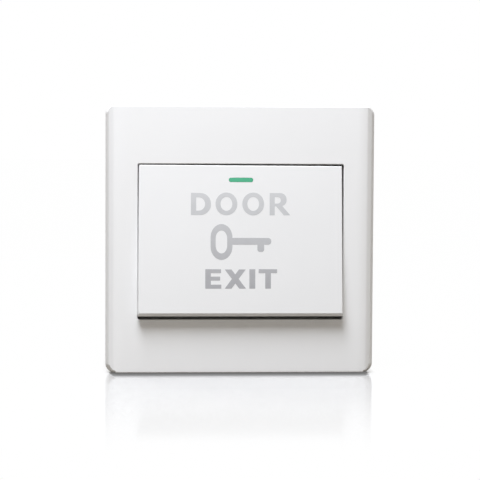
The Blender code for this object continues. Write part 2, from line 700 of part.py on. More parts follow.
def make_yoke(material):
    """The plate that is screwed to the wall box and carries the rocker, the frame and the switch."""
    half = YOKE_SIDE / 2
    yoke = add_object("mounting_yoke",
                      prism(centred(YOKE_SIDE, YOKE_SIDE, YOKE_CORNER_RADIUS), "Y", 0, YOKE_FRONT_Y),
                      material)
    join(yoke, yoke_rim())
    for side in (-1, 1):
        join(yoke, hinge_ear(side))
        join(yoke, prism(circle(BOSS_RADIUS, (side * HOUSING_SCREW_X, 0)), "Y",
                         YOKE_FRONT_Y + OVERLAP, -BOSS_PROUD))
        slot_centre = (side * FIXING_CENTRES / 2, 0)
        pad = stadium(FIXING_SLOT_LENGTH + 2 * FIXING_PAD_MARGIN,
                      FIXING_SLOT_WIDTH + 2 * FIXING_PAD_MARGIN, slot_centre, upright=True)
        join(yoke, prism(pad, "Y", YOKE_FRONT_Y + OVERLAP, YOKE_FRONT_Y - FIXING_PAD_HEIGHT))
        slot = stadium(FIXING_SLOT_LENGTH, FIXING_SLOT_WIDTH, slot_centre, upright=True)
        cut(yoke, prism(slot, "Y", CUT_MARGIN, -BOSS_PROUD - CUT_MARGIN))
        cut(yoke, prism(circle(HOUSING_SCREW_RADIUS + RIVET_GAP, (side * HOUSING_SCREW_X, 0)), "Y",
                        CUT_MARGIN, -BOSS_PROUD + YOKE_RIM_WALL))
        cut(yoke, hinge_seat(side))
        cut(yoke, hinge_mouth(side))
        cut(yoke, hook_window(side * HOOK_X))
        for level in (-CATCH_HEIGHT, CATCH_HEIGHT):
            long = CATCH_LENGTH / 2 + 2 * SEAT_GAP
            step = -SEAT_GAP - CATCH_THICKNESS - SEAT_GAP
            x = sorted((side * (half + CUT_MARGIN), side * (half - CATCH_REACH)))
            cut(yoke, block(x, (step, CUT_MARGIN), (level - long, level + long)))
    for rib in yoke_ribs():
        join(yoke, rib)
    window = centred(HOUSING_WIDTH + 2 * SEAT_GAP, HOUSING_HEIGHT + 2 * SEAT_GAP, HOUSING_CORNER_RADIUS)
    cut(yoke, prism(window, "Y", CUT_MARGIN, -BOSS_PROUD - CUT_MARGIN))
    for pocket in yoke_pockets():
        cut(yoke, pocket)
    shade_round(yoke)


def yoke_ribs():
    """The yoke's stiffening ribs in front, between the frame's collar and the rim."""
    return ribs_round_opening(YOKE_RIM_WALL, SEAT_GAP, YOKE_SIDE / 2 - YOKE_RIM_WALL + OVERLAP,
                              (YOKE_FRONT_Y + OVERLAP, -YOKE_RIB_PROUD))


def yoke_pockets():
    """The cutters of the yoke's shallow rear pockets, above and below the switch."""
    outer = YOKE_SIDE / 2 - YOKE_WEB
    above = HOUSING_HEIGHT / 2 + HOUSING_FLANGE_MARGIN + YOKE_WEB
    below = -HOOK_HEIGHT + YOKE_WEB
    pockets = []
    for side in (-1, 1):
        left, right = sorted((side * YOKE_WEB / 2, side * outer))
        for bottom, top in ((above, outer), (-outer, -below)):
            outline = rounded_rectangle(left, right, bottom, top, YOKE_POCKET_RADIUS)
            pockets.append(prism(outline, "Y", CUT_MARGIN, -YOKE_POCKET_DEPTH))
    return pockets


def yoke_rim():
    """The stiffening wall round the yoke's edge."""
    wide = centred(YOKE_SIDE, YOKE_SIDE, YOKE_CORNER_RADIUS)
    inner_side = YOKE_SIDE - 2 * YOKE_RIM_WALL
    inner = centred(inner_side, inner_side, YOKE_CORNER_RADIUS / 2)
    bm = bmesh.new()
    back, front = YOKE_FRONT_Y + OVERLAP, -YOKE_RIM_PROUD
    loops = [[bm.verts.new((u, y, v)) for u, v in outline]
             for outline, y in ((wide, back), (wide, front), (inner, front), (inner, back))]
    for loop, following in zip(loops, loops[1:] + loops[:1]):
        for i, vert in enumerate(loop):
            after = (i + 1) % len(loop)
            bm.faces.new((vert, loop[after], following[after], following[i]))
    return finished(bm, "rim")


def hinge_ear(side):
    """The cheek that holds one hinge pin."""
    outer = LUG_INNER_X + LUG_THICKNESS + SEAT_GAP
    outline = rounded_rectangle(-EAR_PROUD, YOKE_FRONT_Y + OVERLAP, HINGE_HEIGHT - EAR_HALF_HEIGHT,
                                HINGE_HEIGHT + EAR_HALF_HEIGHT, OVERLAP)
    return prism(outline, "X", side * outer, side * (outer + EAR_THICKNESS))


def hinge_seat(side):
    """The cutter of the round seat that a hinge pin turns in."""
    seat = circle(HINGE_PIN_RADIUS + RUNNING_GAP, (HINGE_Y, HINGE_HEIGHT))
    outer = LUG_INNER_X + LUG_THICKNESS
    return prism(seat, "X", side * outer, side * (outer + EAR_THICKNESS + CUT_MARGIN))


def hinge_mouth(side):
    """The cutter of the flared mouth through which the pin snaps into its seat."""
    outer = LUG_INNER_X + LUG_THICKNESS
    half = EAR_MOUTH / 2
    lip = -EAR_PROUD + MOUTH_FLARE
    front = -EAR_PROUD - CUT_MARGIN
    wide = half + MOUTH_FLARE + CUT_MARGIN
    outline = [(HINGE_Y, HINGE_HEIGHT - half), (HINGE_Y, HINGE_HEIGHT + half), (lip, HINGE_HEIGHT + half),
               (front, HINGE_HEIGHT + wide), (front, HINGE_HEIGHT - wide), (lip, HINGE_HEIGHT - half)]
    return prism(outline, "X", side * outer, side * (outer + EAR_THICKNESS + CUT_MARGIN))


def hook_window(x):
    """The cutter of the window that a stop hook passes through. Its lower edge is what stops the barb."""
    step, end, low, high = hook_levels()
    clear = HOOK_WINDOW_CLEARANCE
    tilted = [HINGE_HEIGHT + z * math.cos(PRESS_ANGLE) - y * math.sin(PRESS_ANGLE)
              for y, z in ((step, low), (step, high))]
    pressed = [HINGE_HEIGHT + low, HINGE_HEIGHT + high]
    bottom = min(tilted + pressed) - clear
    top = max(tilted + pressed) + clear + HOOK_BARB / 2
    half = HOOK_WIDTH / 2 + clear
    return block((x - half, x + half), (-BOSS_PROUD, CUT_MARGIN), (bottom, top))


# Switch housing and terminal base

def make_housing(material, parent):
    """The front shell of the switch, with the plunger's guide, a seating flange and two screw ears."""
    housing = add_object("switch_housing",
                         prism(centred(HOUSING_WIDTH, HOUSING_HEIGHT, HOUSING_CORNER_RADIUS), "Y",
                               HOUSING_FRONT_Y, HOUSING_BACK), material, parent)
    margin = 2 * HOUSING_FLANGE_MARGIN
    flange = centred(HOUSING_WIDTH + margin, HOUSING_HEIGHT + margin, HOUSING_FLANGE_MARGIN)
    back = SEAT_GAP + HOUSING_FLANGE_THICKNESS
    join(housing, prism(flange, "Y", SEAT_GAP, back))
    ear = stadium(2 * HOUSING_SCREW_X + HOUSING_EAR_WIDTH, HOUSING_EAR_WIDTH)
    join(housing, prism(ear, "Y", SEAT_GAP, back - RIVET_GAP))
    for side in (-1, 1):
        hole = circle(HOUSING_SCREW_RADIUS + RUNNING_GAP, (side * HOUSING_SCREW_X, 0))
        cut(housing, prism(hole, "Y", -CUT_MARGIN, back + CUT_MARGIN))
    chamber = centred(2 * CHAMBER_HALF_X, 2 * CHAMBER_HALF_Z, HOUSING_CORNER_RADIUS / 2)
    cut(housing, prism(chamber, "Y", CHAMBER_FRONT_Y, HOUSING_BACK + CUT_MARGIN))
    half_x = STEM_WIDTH / 2 + SEAT_GAP
    half_z = STEM_THICKNESS / 2 + SEAT_GAP
    cut(housing, block((-half_x, half_x), (HOUSING_FRONT_Y - CUT_MARGIN, CHAMBER_FRONT_Y + CUT_MARGIN),
                       (PLUNGER_HEIGHT - half_z, PLUNGER_HEIGHT + half_z)))
    step, tip = snap_levels()
    for level in (-SNAP_HEIGHT, SNAP_HEIGHT):
        half = SNAP_WIDTH / 2 + SEAT_GAP
        reach = HOUSING_WIDTH / 2 + CUT_MARGIN
        cut(housing, block((-reach, reach), (tip - SEAT_GAP, step + SEAT_GAP), (level - half, level + half)))
    shade_round(housing)


def snap_levels():
    """The y of a snap barb's step and of its tip."""
    tip = BASE_FLOOR - SNAP_REACH
    return tip + SNAP_BARB_LENGTH, tip


def bay_centres():
    """The x of the three terminals, seen from the front: normally closed, common, normally open."""
    return {"nc": -TERMINAL_PITCH, "com": 0.0, "no": TERMINAL_PITCH}


def make_base(material, parent):
    """The rear block: it closes the housing, holds the contact strips and has a bay for each terminal."""
    block_front = HOUSING_BACK + SEAT_GAP
    base = add_object("terminal_base",
                      prism(centred(HOUSING_WIDTH, HOUSING_HEIGHT, HOUSING_CORNER_RADIUS), "Y",
                            block_front, BASE_BACK), material, parent)
    spigot_x = CHAMBER_HALF_X - SEAT_GAP
    spigot_z = CHAMBER_HALF_Z - SEAT_GAP
    join(base, prism(centred(2 * spigot_x, 2 * spigot_z, HOUSING_CORNER_RADIUS / 2), "Y",
                     BASE_FLOOR, block_front + OVERLAP))
    for side in (-1, 1):
        join(base, prism(circle(PEG_RADIUS, (side * SPRING_X, PLUNGER_HEIGHT)), "Y",
                         BASE_FLOOR + OVERLAP, BASE_FLOOR - PEG_LENGTH))
        for level in (-SNAP_HEIGHT, SNAP_HEIGHT):
            join(base, snap_tab(side, level, spigot_x))
    low = -HOUSING_HEIGHT / 2 - CUT_MARGIN
    for x in bay_centres().values():
        half = BAY_WIDTH / 2
        cut(base, block((x - half, x + half), (BAY_FLOOR, BASE_BACK + CUT_MARGIN), (low, BAY_TOP)))
        cut(base, prism(circle(TERMINAL_SCREW_RADIUS + RUNNING_GAP, (x, 0)), "Y",
                        BASE_FLOOR + CUT_MARGIN, BAY_FLOOR + CUT_MARGIN))
    for slot in leg_slots():
        cut(base, slot)
    shade_round(base)


def snap_tab(side, level, wall_x):
    """A springy tab beside the chamber, whose barb clicks into a window of the housing."""
    step, tip = snap_levels()
    inner = wall_x - SNAP_THICKNESS
    outline = [(side * inner, BASE_FLOOR + OVERLAP), (side * inner, tip), (side * (wall_x - OVERLAP), tip),
               (side * (wall_x + SNAP_BARB), step - OVERLAP), (side * (wall_x + SNAP_BARB), step),
               (side * wall_x, step), (side * wall_x, BASE_FLOOR + OVERLAP)]
    return prism(outline, "Z", level - SNAP_WIDTH / 2, level + SNAP_WIDTH / 2)


def leg_slots():
    """The cutters of the three slots through the base's floor that the contact strips' legs pass."""
    long = (BASE_FLOOR - CUT_MARGIN, BAY_FLOOR + CUT_MARGIN)
    thick = STRIP_THICKNESS / 2 + SEAT_GAP
    wide = CONTACT_ARM_WIDTH / 2 + SEAT_GAP
    half = LEAF_ROOT_WIDTH / 2 + SEAT_GAP
    slots = [block((-half, half), long, (COM_LEG_HEIGHT - thick, COM_LEG_HEIGHT + thick))]
    for side in (-1, 1):
        x = side * LEG_X
        slots.append(block((x - thick, x + thick), long, (LEAF_TIP_HEIGHT - wide, LEAF_TIP_HEIGHT + wide)))
    return slots


# Plunger and springs

def make_plunger(material, parent):
    """The slider: a nose that the rocker pushes, a flange on two springs and a foot over the leaf."""
    plunger = add_object("plunger",
                         block((-STEM_WIDTH / 2, STEM_WIDTH / 2),
                               (PLUNGER_NOSE_Y - FLANGE_FRONT_Y, OVERLAP),
                               (-STEM_THICKNESS / 2, STEM_THICKNESS / 2)),
                         material, parent, (0, FLANGE_FRONT_Y, PLUNGER_HEIGHT))
    nose = PLUNGER_NOSE_Y - FLANGE_FRONT_Y
    bevel_edges(plunger, OVERLAP, 1, lambda edge: float(all(v.co.y < nose / 2 for v in edge.verts)))
    join(plunger, prism(centred(FLANGE_WIDTH, FLANGE_HEIGHT, HOUSING_CORNER_RADIUS), "Y",
                        0, FLANGE_THICKNESS))
    for side in (-1, 1):
        join(plunger, prism(circle(PEG_RADIUS, (side * SPRING_X, 0)), "Y",
                            FLANGE_THICKNESS - OVERLAP, FLANGE_THICKNESS + PEG_LENGTH))
    join(plunger, block((-FOOT_SIZE / 2, FOOT_SIZE / 2),
                        (FLANGE_THICKNESS - OVERLAP, FOOT_END_Y - FLANGE_FRONT_Y),
                        (-FOOT_SIZE / 2, FOOT_SIZE / 2)))
    shade_round(plunger)


def spring_points(length):
    """A compression spring's centreline: closed turns at both ends and an even pitch between them."""
    steps = int(SPRING_TURNS * SPRING_STEPS_PER_TURN)
    closed = SPRING_STEPS_PER_TURN
    gaps = [0.25 if i < closed or i >= steps - closed else 1.0 for i in range(steps)]
    closed_rise = SPRING_WIRE * 1.15 / SPRING_STEPS_PER_TURN
    open_rise = (length - closed_rise * 2 * closed) / gaps.count(1.0)
    points, y = [], 0.0
    for i in range(steps + 1):
        angle = 2 * math.pi * i / SPRING_STEPS_PER_TURN
        points.append((SPRING_RADIUS * math.cos(angle), y, SPRING_RADIUS * math.sin(angle)))
        if i < steps:
            y += open_rise if gaps[i] == 1.0 else closed_rise
    return points


def make_spring(name, x, material, parent):
    """One return spring, between the plunger's flange and the base's floor."""
    rest = SEAT_GAP + SPRING_WIRE / 2
    start = FLANGE_REAR_Y + rest
    points = spring_points(BASE_FLOOR - rest - start)
    curve = bpy.data.curves.new(name, "CURVE")
    curve.dimensions = "3D"
    curve.bevel_depth = SPRING_WIRE / 2
    curve.bevel_resolution = 1
    curve.use_fill_caps = True
    spline = curve.splines.new("POLY")
    spline.points.add(len(points) - 1)
    for point, place in zip(spline.points, points):
        point.co = (*place, 1.0)
    spline.use_smooth = True
    add_object(name, curve, material, parent, (x, start, PLUNGER_HEIGHT))


# Contacts

def screw_hole(x):
    """The cutter of a terminal plate's hole."""
    return prism(circle(TERMINAL_SCREW_RADIUS + RIVET_GAP, (x, 0)), "Y",
                 BAY_FLOOR, BAY_FLOOR + CUT_MARGIN + STRIP_THICKNESS)


def make_common_strip(material, parent):
    """The common terminal, folded from one strip: a tab for the leaf, a leg and the terminal plate."""
    tab = COM_TAB_Y + STRIP_THICKNESS / 2
    plate = TERMINAL_PLATE_Y + STRIP_THICKNESS / 2
    path = [(tab, LEAF_ROOT_HEIGHT - LEAF_ROOT_REACH), (tab, COM_LEG_HEIGHT), (plate, COM_LEG_HEIGHT),
            (plate, TERMINAL_PLATE_BOTTOM)]
    strip = add_object("com_terminal", prism(strip_outline(path, STRIP_THICKNESS, STRIP_THICKNESS), "X",
                                             -LEAF_ROOT_WIDTH / 2, LEAF_ROOT_WIDTH / 2), material, parent)
    cut(strip, screw_hole(0))
    cut(strip, prism(circle(RIVET_SHANK_RADIUS + RIVET_GAP, (0, LEAF_ROOT_HEIGHT)), "Y",
                     COM_TAB_Y - CUT_MARGIN, COM_TAB_Y + CUT_MARGIN + STRIP_THICKNESS))
    shade_round(strip)


def make_fixed_strip(name, side, arm_y, material, parent):
    """A fixed contact and its terminal, folded from one strip: an arm by the leaf, a leg and a plate."""
    arm = arm_y + STRIP_THICKNESS / 2
    inner_end = -side * (CONTACT_RADIUS + RIVET_GAP)
    path = [(inner_end, arm), (side * LEG_X, arm), (side * LEG_X, TERMINAL_PLATE_Y + STRIP_THICKNESS / 2)]
    low = LEAF_TIP_HEIGHT - CONTACT_ARM_WIDTH / 2
    strip = add_object(name, prism(strip_outline(path, STRIP_THICKNESS, STRIP_THICKNESS), "Z",
                                   low, low + CONTACT_ARM_WIDTH), material, parent)
    x = side * TERMINAL_PITCH
    half = PLATE_WIDTH / 2
    join(strip, block((x - half, x + half), (TERMINAL_PLATE_Y, TERMINAL_PLATE_Y + STRIP_THICKNESS),
                      (low - RIVET_GAP, TERMINAL_PLATE_TOP)))
    cut(strip, screw_hole(x))
    cut(strip, prism(circle(RIVET_SHANK_RADIUS + RIVET_GAP, (0, LEAF_TIP_HEIGHT)), "Y",
                     arm_y - CUT_MARGIN, arm_y + CUT_MARGIN + STRIP_THICKNESS))
    shade_round(strip)


def rivet_profile(front_head, rear_head, grip, shank):
    """A rivet about a sheet whose front face is at y = 0: (radius, height) of each head."""
    front_y = -RIVET_GAP
    rear_y = grip + RIVET_GAP
    profile = [(0, front_y - front_head[1]), (front_head[0] * 0.7, front_y - front_head[1]),
               (front_head[0], front_y - front_head[1] * 0.55), (front_head[0], front_y), (shank, front_y)]
    profile += [(shank, rear_y), (rear_head[0], rear_y), (rear_head[0], rear_y + rear_head[1] * 0.55),
                (rear_head[0] * 0.7, rear_y + rear_head[1]), (0, rear_y + rear_head[1])]
    return profile


def make_rivet(name, location, front_head, rear_head, grip, material, parent):
    """One rivet, placed at the front face of what it holds."""
    profile = rivet_profile(front_head, rear_head, grip, RIVET_SHANK_RADIUS)
    rivet = add_object(name, turned(profile), material, parent, location)
    shade_round(rivet)


def make_leaf(material, parent):
    """The moving contact blade. It tapers from its root to its tip, and its origin is on its bending line."""
    root, tip = LEAF_ROOT_WIDTH / 2, LEAF_TIP_WIDTH / 2
    outline = arc((0, -LEAF_LENGTH), tip, 180, 360, 2 * CORNER_STEPS)
    outline += [(root, -LEAF_ROOT_REACH), (root, LEAF_ROOT_REACH), (-root, LEAF_ROOT_REACH),
                (-root, -LEAF_ROOT_REACH)]
    half = LEAF_THICKNESS / 2
    leaf = add_object("contact_leaf", prism(outline, "Y", -half, half), material, parent,
                      (0, LEAF_REST_Y, LEAF_ROOT_HEIGHT))
    for level, gap in ((0, SEAT_GAP), (-LEAF_LENGTH, RIVET_GAP)):
        cut(leaf, prism(circle(RIVET_SHANK_RADIUS + gap, (0, level)), "Y", -CUT_MARGIN, CUT_MARGIN))
    shade_round(leaf)


def make_rivets(silver, brass, parent):
    """The contact rivets at the leaf's tip and on the fixed strips, and the rivet at the leaf's root."""
    contact = (CONTACT_RADIUS, CONTACT_HEAD)
    tail = (CONTACT_RADIUS * 0.8, SEAT_GAP - 2 * RIVET_GAP)
    make_rivet("leaf_contact", (0, LEAF_REST_Y - LEAF_THICKNESS / 2, LEAF_TIP_HEIGHT),
               contact, contact, LEAF_THICKNESS, silver, parent)
    make_rivet("no_contact", (0, FIXED_NO_Y, LEAF_TIP_HEIGHT), contact, tail, STRIP_THICKNESS,
               silver, parent)
    make_rivet("nc_contact", (0, FIXED_NC_Y, LEAF_TIP_HEIGHT), (CONTACT_RADIUS * 0.8, CONTACT_HEAD / 2),
               contact, STRIP_THICKNESS, silver, parent)
    root = (CONTACT_RADIUS, CONTACT_HEAD)
    front = LEAF_REST_Y - LEAF_THICKNESS / 2 - SEAT_GAP + RIVET_GAP
    make_rivet("leaf_rivet", (0, front, LEAF_ROOT_HEIGHT), root, root, COM_TAB_Y + STRIP_THICKNESS - front,
               brass, parent)


# Screws and clamps

def make_screw(name, location, shank, head, reach, material, parent):
    """A pan-head screw with a cross recess. Its origin is under the head, and its shank points to -Y."""
    radius, height = head
    profile = [(0, -reach), (shank * 0.6, -reach), (shank, -reach + shank * 0.6), (shank, 0), (radius, 0),
               (radius, height * 0.45), (radius * 0.86, height * 0.82), (radius * 0.55, height),
               (0, height)]
    screw = add_object(name, turned(profile), material, parent, location)
    arm = radius * CROSS_SHARE
    half = radius * CROSS_WIDTH_SHARE / 2
    low = height * (1 - CROSS_DEPTH_SHARE)
    for wide, tall in ((arm, half), (half, arm)):
        cut(screw, block((-wide, wide), (low, height + CUT_MARGIN), (-tall, tall)))
    shade_round(screw)


def make_clamp(name, x, material, parent):
    """A square clamp washer whose left and right edges turn back, to keep the wire under the screw."""
    half = CLAMP_SIDE / 2
    path = [(-half, CLAMP_THICKNESS + CLAMP_LIP), (-half, CLAMP_THICKNESS / 2), (half, CLAMP_THICKNESS / 2),
            (half, CLAMP_THICKNESS + CLAMP_LIP)]
    clamp = add_object(name, prism(strip_outline(path, CLAMP_THICKNESS, CLAMP_THICKNESS), "Z", -half, half),
                       material, parent, (x, CLAMP_Y, 0))
    cut(clamp, prism(circle(TERMINAL_SCREW_RADIUS + RUNNING_GAP), "Y", -CUT_MARGIN,
                     CLAMP_THICKNESS + CUT_MARGIN))
    shade_round(clamp)


def make_terminals(brass, steel, parent):
    """A clamp and a screw for each of the three terminals."""
    under_head = CLAMP_Y + CLAMP_THICKNESS + RIVET_GAP
    reach = under_head - BASE_FLOOR - CUT_MARGIN - SEAT_GAP
    for name, x in bay_centres().items():
        make_clamp(name + "_clamp", x, steel, parent)
        make_screw(name + "_terminal_screw", (x, under_head, 0), TERMINAL_SCREW_RADIUS,
                   (TERMINAL_HEAD_RADIUS, TERMINAL_HEAD_HEIGHT), reach, brass, parent)


def make_housing_screws(steel, parent):
    """The two screws that hold the switch to the yoke's bosses."""
    under_head = SEAT_GAP + HOUSING_FLANGE_THICKNESS + SEAT_GAP
    reach = under_head + BOSS_PROUD - YOKE_RIM_WALL - SEAT_GAP
    for name, side in (("housing_screw_left", -1), ("housing_screw_right", 1)):
        make_screw(name, (side * HOUSING_SCREW_X, under_head, 0), HOUSING_SCREW_RADIUS,
                   (HOUSING_HEAD_RADIUS, HOUSING_HEAD_HEIGHT), reach, steel, parent)


def main():
    """Builds every piece of the exit button."""
    clear_scene()
    white = make_material("white_plastic", (0.86, 0.86, 0.865), 0.32)
    rocker_white = make_material("rocker_plastic", (0.87, 0.87, 0.87), 0.30)
    green = make_material("green_indicator", (0.09, 0.46, 0.27), 0.25)
    yoke_white = make_material("yoke_plastic", (0.78, 0.78, 0.77), 0.50)
    grey = make_material("housing_plastic", (0.62, 0.62, 0.60), 0.50)
    dark = make_material("base_plastic", (0.06, 0.06, 0.065), 0.45)
    acetal = make_material("plunger_plastic", (0.80, 0.79, 0.74), 0.40)
    brass = make_material("brass", (0.78, 0.60, 0.28), 0.30, 1.0)
    bronze = make_material("phosphor_bronze", (0.72, 0.48, 0.30), 0.30, 1.0)
    silver = make_material("silver_contact", (0.88, 0.87, 0.84), 0.25, 1.0)
    steel = make_material("zinc_steel", (0.70, 0.71, 0.72), 0.30, 1.0)

    make_face_frame(white)
    rocker = make_rocker(rocker_white)
    make_indicator(green, rocker)
    make_yoke(yoke_white)

    switch = add_pivot("switch_assembly", (0, 0, 0))
    make_housing(grey, switch)
    make_base(dark, switch)
    make_plunger(acetal, switch)
    make_spring("return_spring_left", -SPRING_X, steel, switch)
    make_spring("return_spring_right", SPRING_X, steel, switch)
    make_common_strip(brass, switch)
    make_fixed_strip("no_terminal", 1, FIXED_NO_Y, brass, switch)
    make_fixed_strip("nc_terminal", -1, FIXED_NC_Y, brass, switch)
    make_leaf(bronze, switch)
    make_rivets(silver, brass, switch)
    make_terminals(brass, steel, switch)
    make_housing_screws(steel, switch)


main()
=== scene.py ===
"""Looks of a door exit button for a flush wall box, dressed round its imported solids.

Lengths are metres. +Z is up, the front faces -Y, and y = 0 is the wall's surface.
"""

import logging
import math
from collections.abc import Callable, Iterator, Sequence
from contextlib import contextmanager
from dataclasses import dataclass, field
from enum import Enum

import bmesh
import bpy
from mathutils import Matrix, Quaternion, Vector


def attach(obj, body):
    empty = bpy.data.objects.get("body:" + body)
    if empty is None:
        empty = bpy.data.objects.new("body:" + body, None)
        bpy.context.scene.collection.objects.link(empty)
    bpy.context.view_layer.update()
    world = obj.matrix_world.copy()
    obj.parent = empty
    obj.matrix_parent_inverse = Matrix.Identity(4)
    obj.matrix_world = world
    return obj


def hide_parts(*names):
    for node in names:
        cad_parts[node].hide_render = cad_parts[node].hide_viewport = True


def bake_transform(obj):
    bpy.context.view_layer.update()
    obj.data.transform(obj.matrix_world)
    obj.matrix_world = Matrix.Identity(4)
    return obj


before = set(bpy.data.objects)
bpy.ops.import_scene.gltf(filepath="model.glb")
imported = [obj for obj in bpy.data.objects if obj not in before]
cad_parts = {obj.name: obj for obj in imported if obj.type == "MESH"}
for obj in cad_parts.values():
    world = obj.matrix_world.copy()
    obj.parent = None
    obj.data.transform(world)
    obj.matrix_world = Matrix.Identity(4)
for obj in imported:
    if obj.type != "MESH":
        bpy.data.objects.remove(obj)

LOG = logging.getLogger("exit_button")
NEAR = 1e-6  # places that are closer than this are the same
APART = 1e-5  # places that are further apart than this are different corners
SUNK = 0.0004  # how far a piece starts inside the one that it is joined to
PAST = 0.001  # how far a cutter reaches past what it cuts
ONE_FACE = math.radians(0.5)  # faces that turn less than this from one to the next are one
SOFT_EDGE = math.radians(40)  # edges that turn more than this are softened
FRONTWARD = 0.45  # a face whose normal points forward by more than this is part of a front
RIMWARD = 0.1  # and one by more than this is part of a front or of its rim

Piece = bpy.types.Object
Corner = tuple[float, float, float]
Colour = tuple[float, float, float]
Fade = tuple[float, float]


class Element(Enum):
    """What is selected in edit mode, as (Blender's mode, bmesh's list)."""

    VERT = ("VERT", "verts")
    EDGE = ("EDGE", "edges")
    FACE = ("FACE", "faces")


class Solid(Enum):
    """What is done to one solid with another."""

    JOIN = "UNION"
    CUT = "DIFFERENCE"


class Axis(Enum):
    """The direction that a turned piece lies along, as the Euler angles that lay it there."""

    X = (0.0, math.pi / 2, 0.0)
    Y = (math.pi / 2, 0.0, 0.0)
    Z = (0.0, 0.0, 0.0)


# The bench: Blender's own operators, run on one piece at a time

def pick(piece: Piece) -> None:
    """Leaves piece selected and active, and nothing else.

    Args:
        piece: The piece to select.
    """
    bpy.ops.object.select_all(action="DESELECT")
    piece.select_set(True)
    bpy.context.view_layer.objects.active = piece


@contextmanager
def editing(piece: Piece) -> Iterator[None]:
    """Holds piece in edit mode.

    Args:
        piece: The piece to edit.

    Yields:
        Nothing, while the piece is in edit mode.
    """
    pick(piece)
    bpy.ops.object.mode_set(mode="EDIT")
    yield
    bpy.ops.object.mode_set(mode="OBJECT")


def choose(element: Element, test: Callable[..., bool]) -> None:
    """Selects parts of the mesh that is being edited.

    Args:
        element: Whether corners, edges or faces are meant.
        test: Says whether one of them is selected.
    """
    mode, items = element.value
    bpy.ops.mesh.select_mode(type=mode)
    bpy.ops.mesh.select_all(action="DESELECT")
    mesh = bpy.context.edit_object.data
    edited = bmesh.from_edit_mesh(mesh)
    for item in getattr(edited, items):
        item.select_set(bool(test(item)))
    edited.select_flush_mode()
    bmesh.update_edit_mesh(mesh)


def settle(piece: Piece) -> Piece:
    """Puts piece's place, turn and scale into its mesh, and returns it.

    Args:
        piece: The piece.

    Returns:
        The same piece.
    """
    pick(piece)
    bpy.ops.object.transform_apply(location=True, rotation=True, scale=True)
    return piece


def block(name: str, low: Corner, high: Corner) -> Piece:
    """A plain block to start a piece from.

    Args:
        name: The new object's name.
        low: Its lowest corner.
        high: Its highest corner.

    Returns:
        The block, with its place in its mesh.
    """
    middle = [(a + b) / 2 for a, b in zip(low, high)]
    bpy.ops.object.select_all(action="DESELECT")
    bpy.ops.mesh.primitive_cube_add(size=1.0, location=middle)
    made = bpy.context.object
    made.name = name
    made.scale = [b - a for a, b in zip(low, high)]
    return settle(made)


def rod(name: str, radius: float, start: Corner, length: float, axis: Axis,
        sides: int = 32) -> Piece:
    """A round bar to start a turned piece from.

    Args:
        name: The new object's name.
        radius: Its radius.
        start: The middle of its lower end.
        length: How far it runs from there along the axis.
        axis: The direction that it lies along.
        sides: How many sides its round has.

    Returns:
        The bar, with its place in its mesh.
    """
    along = {Axis.X: (1, 0, 0), Axis.Y: (0, 1, 0), Axis.Z: (0, 0, 1)}[axis]
    middle = [a + b * length / 2 for a, b in zip(start, along)]
    bpy.ops.object.select_all(action="DESELECT")
    bpy.ops.mesh.primitive_cylinder_add(vertices=sides, radius=radius, depth=abs(length),
                                        location=middle, rotation=axis.value)
    made = bpy.context.object
    made.name = name
    return settle(made)


def round_edges(piece: Piece, test: Callable[..., bool], radius: float, segments: int = 4) -> None:
    """Rounds the edges of piece for which test says yes.

    Args:
        piece: The piece.
        test: Says whether an edge is rounded.
        radius: The radius.
        segments: How many faces round each edge.
    """
    with editing(piece):
        choose(Element.EDGE, test)
        bpy.ops.mesh.bevel(offset=radius, segments=segments, affect="EDGES", clamp_overlap=False)


def weigh_edges(piece: Piece, test: Callable[..., bool], share: float) -> None:
    """Gives the edges for which test says yes a share of the radius that round_weighed uses.

    Args:
        piece: The piece.
        test: Says whether an edge gets the share.
        share: The share of the radius.
    """
    with editing(piece):
        choose(Element.EDGE, test)
        bpy.ops.transform.edge_bevelweight(value=share)


def round_weighed(piece: Piece, radius: float, segments: int) -> None:
    """Rounds all weighed edges of piece at once, so that they meet cleanly.

    Args:
        piece: The piece.
        radius: The radius of an edge whose share is 1.
        segments: How many faces round each edge.
    """
    pick(piece)
    bevel = piece.modifiers.new("edge_radius", "BEVEL")
    bevel.limit_method = "WEIGHT"
    bevel.width = radius
    bevel.segments = segments
    bpy.ops.object.modifier_apply(modifier=bevel.name)


def runs_along_y(edge: bmesh.types.BMEdge) -> bool:
    """Whether an edge runs from front to back."""
    first, second = (vert.co for vert in edge.verts)
    return abs(first.x - second.x) + abs(first.z - second.z) < NEAR


def gathered(pieces: Sequence[Piece], name: str) -> Piece:
    """Joins pieces that touch into one object, without cutting them.

    Args:
        pieces: The pieces, which are used up.
        name: The joined piece's name.

    Returns:
        The joined piece.
    """
    pick(pieces[0])
    for piece in pieces:
        piece.select_set(True)
    bpy.ops.object.join()
    made = bpy.context.object
    made.name = name
    return made


def rounded_block(name: str, low: Corner, high: Corner, radius: float, segments: int = 8) -> Piece:
    """A block whose four corners, seen from the front, are round.

    Args:
        name: The new object's name.
        low: Its lowest corner.
        high: Its highest corner.
        radius: The corners' radius.
        segments: How many faces round each corner.

    Returns:
        The block.
    """
    made = block(name, low, high)
    round_edges(made, runs_along_y, radius, segments)
    return made


def drawn_line(name: str, points: Sequence[Corner]) -> Piece:
    """An open line through points, drawn by extruding one corner.

    Args:
        name: The new object's name.
        points: The points, in order.

    Returns:
        The line, as a piece with edges only.
    """
    bpy.ops.object.select_all(action="DESELECT")
    bpy.ops.mesh.primitive_plane_add(size=0.001, location=points[0])
    made = settle(bpy.context.object)
    made.name = name
    with editing(made):
        bpy.ops.mesh.select_mode(type="VERT")
        bpy.ops.mesh.select_all(action="SELECT")
        bpy.ops.mesh.merge(type="CENTER")
        for last, point in zip(points, points[1:]):
            step = [b - a for a, b in zip(last, point)]
            bpy.ops.mesh.extrude_vertices_move(TRANSFORM_OT_translate={"value": step})
    return made


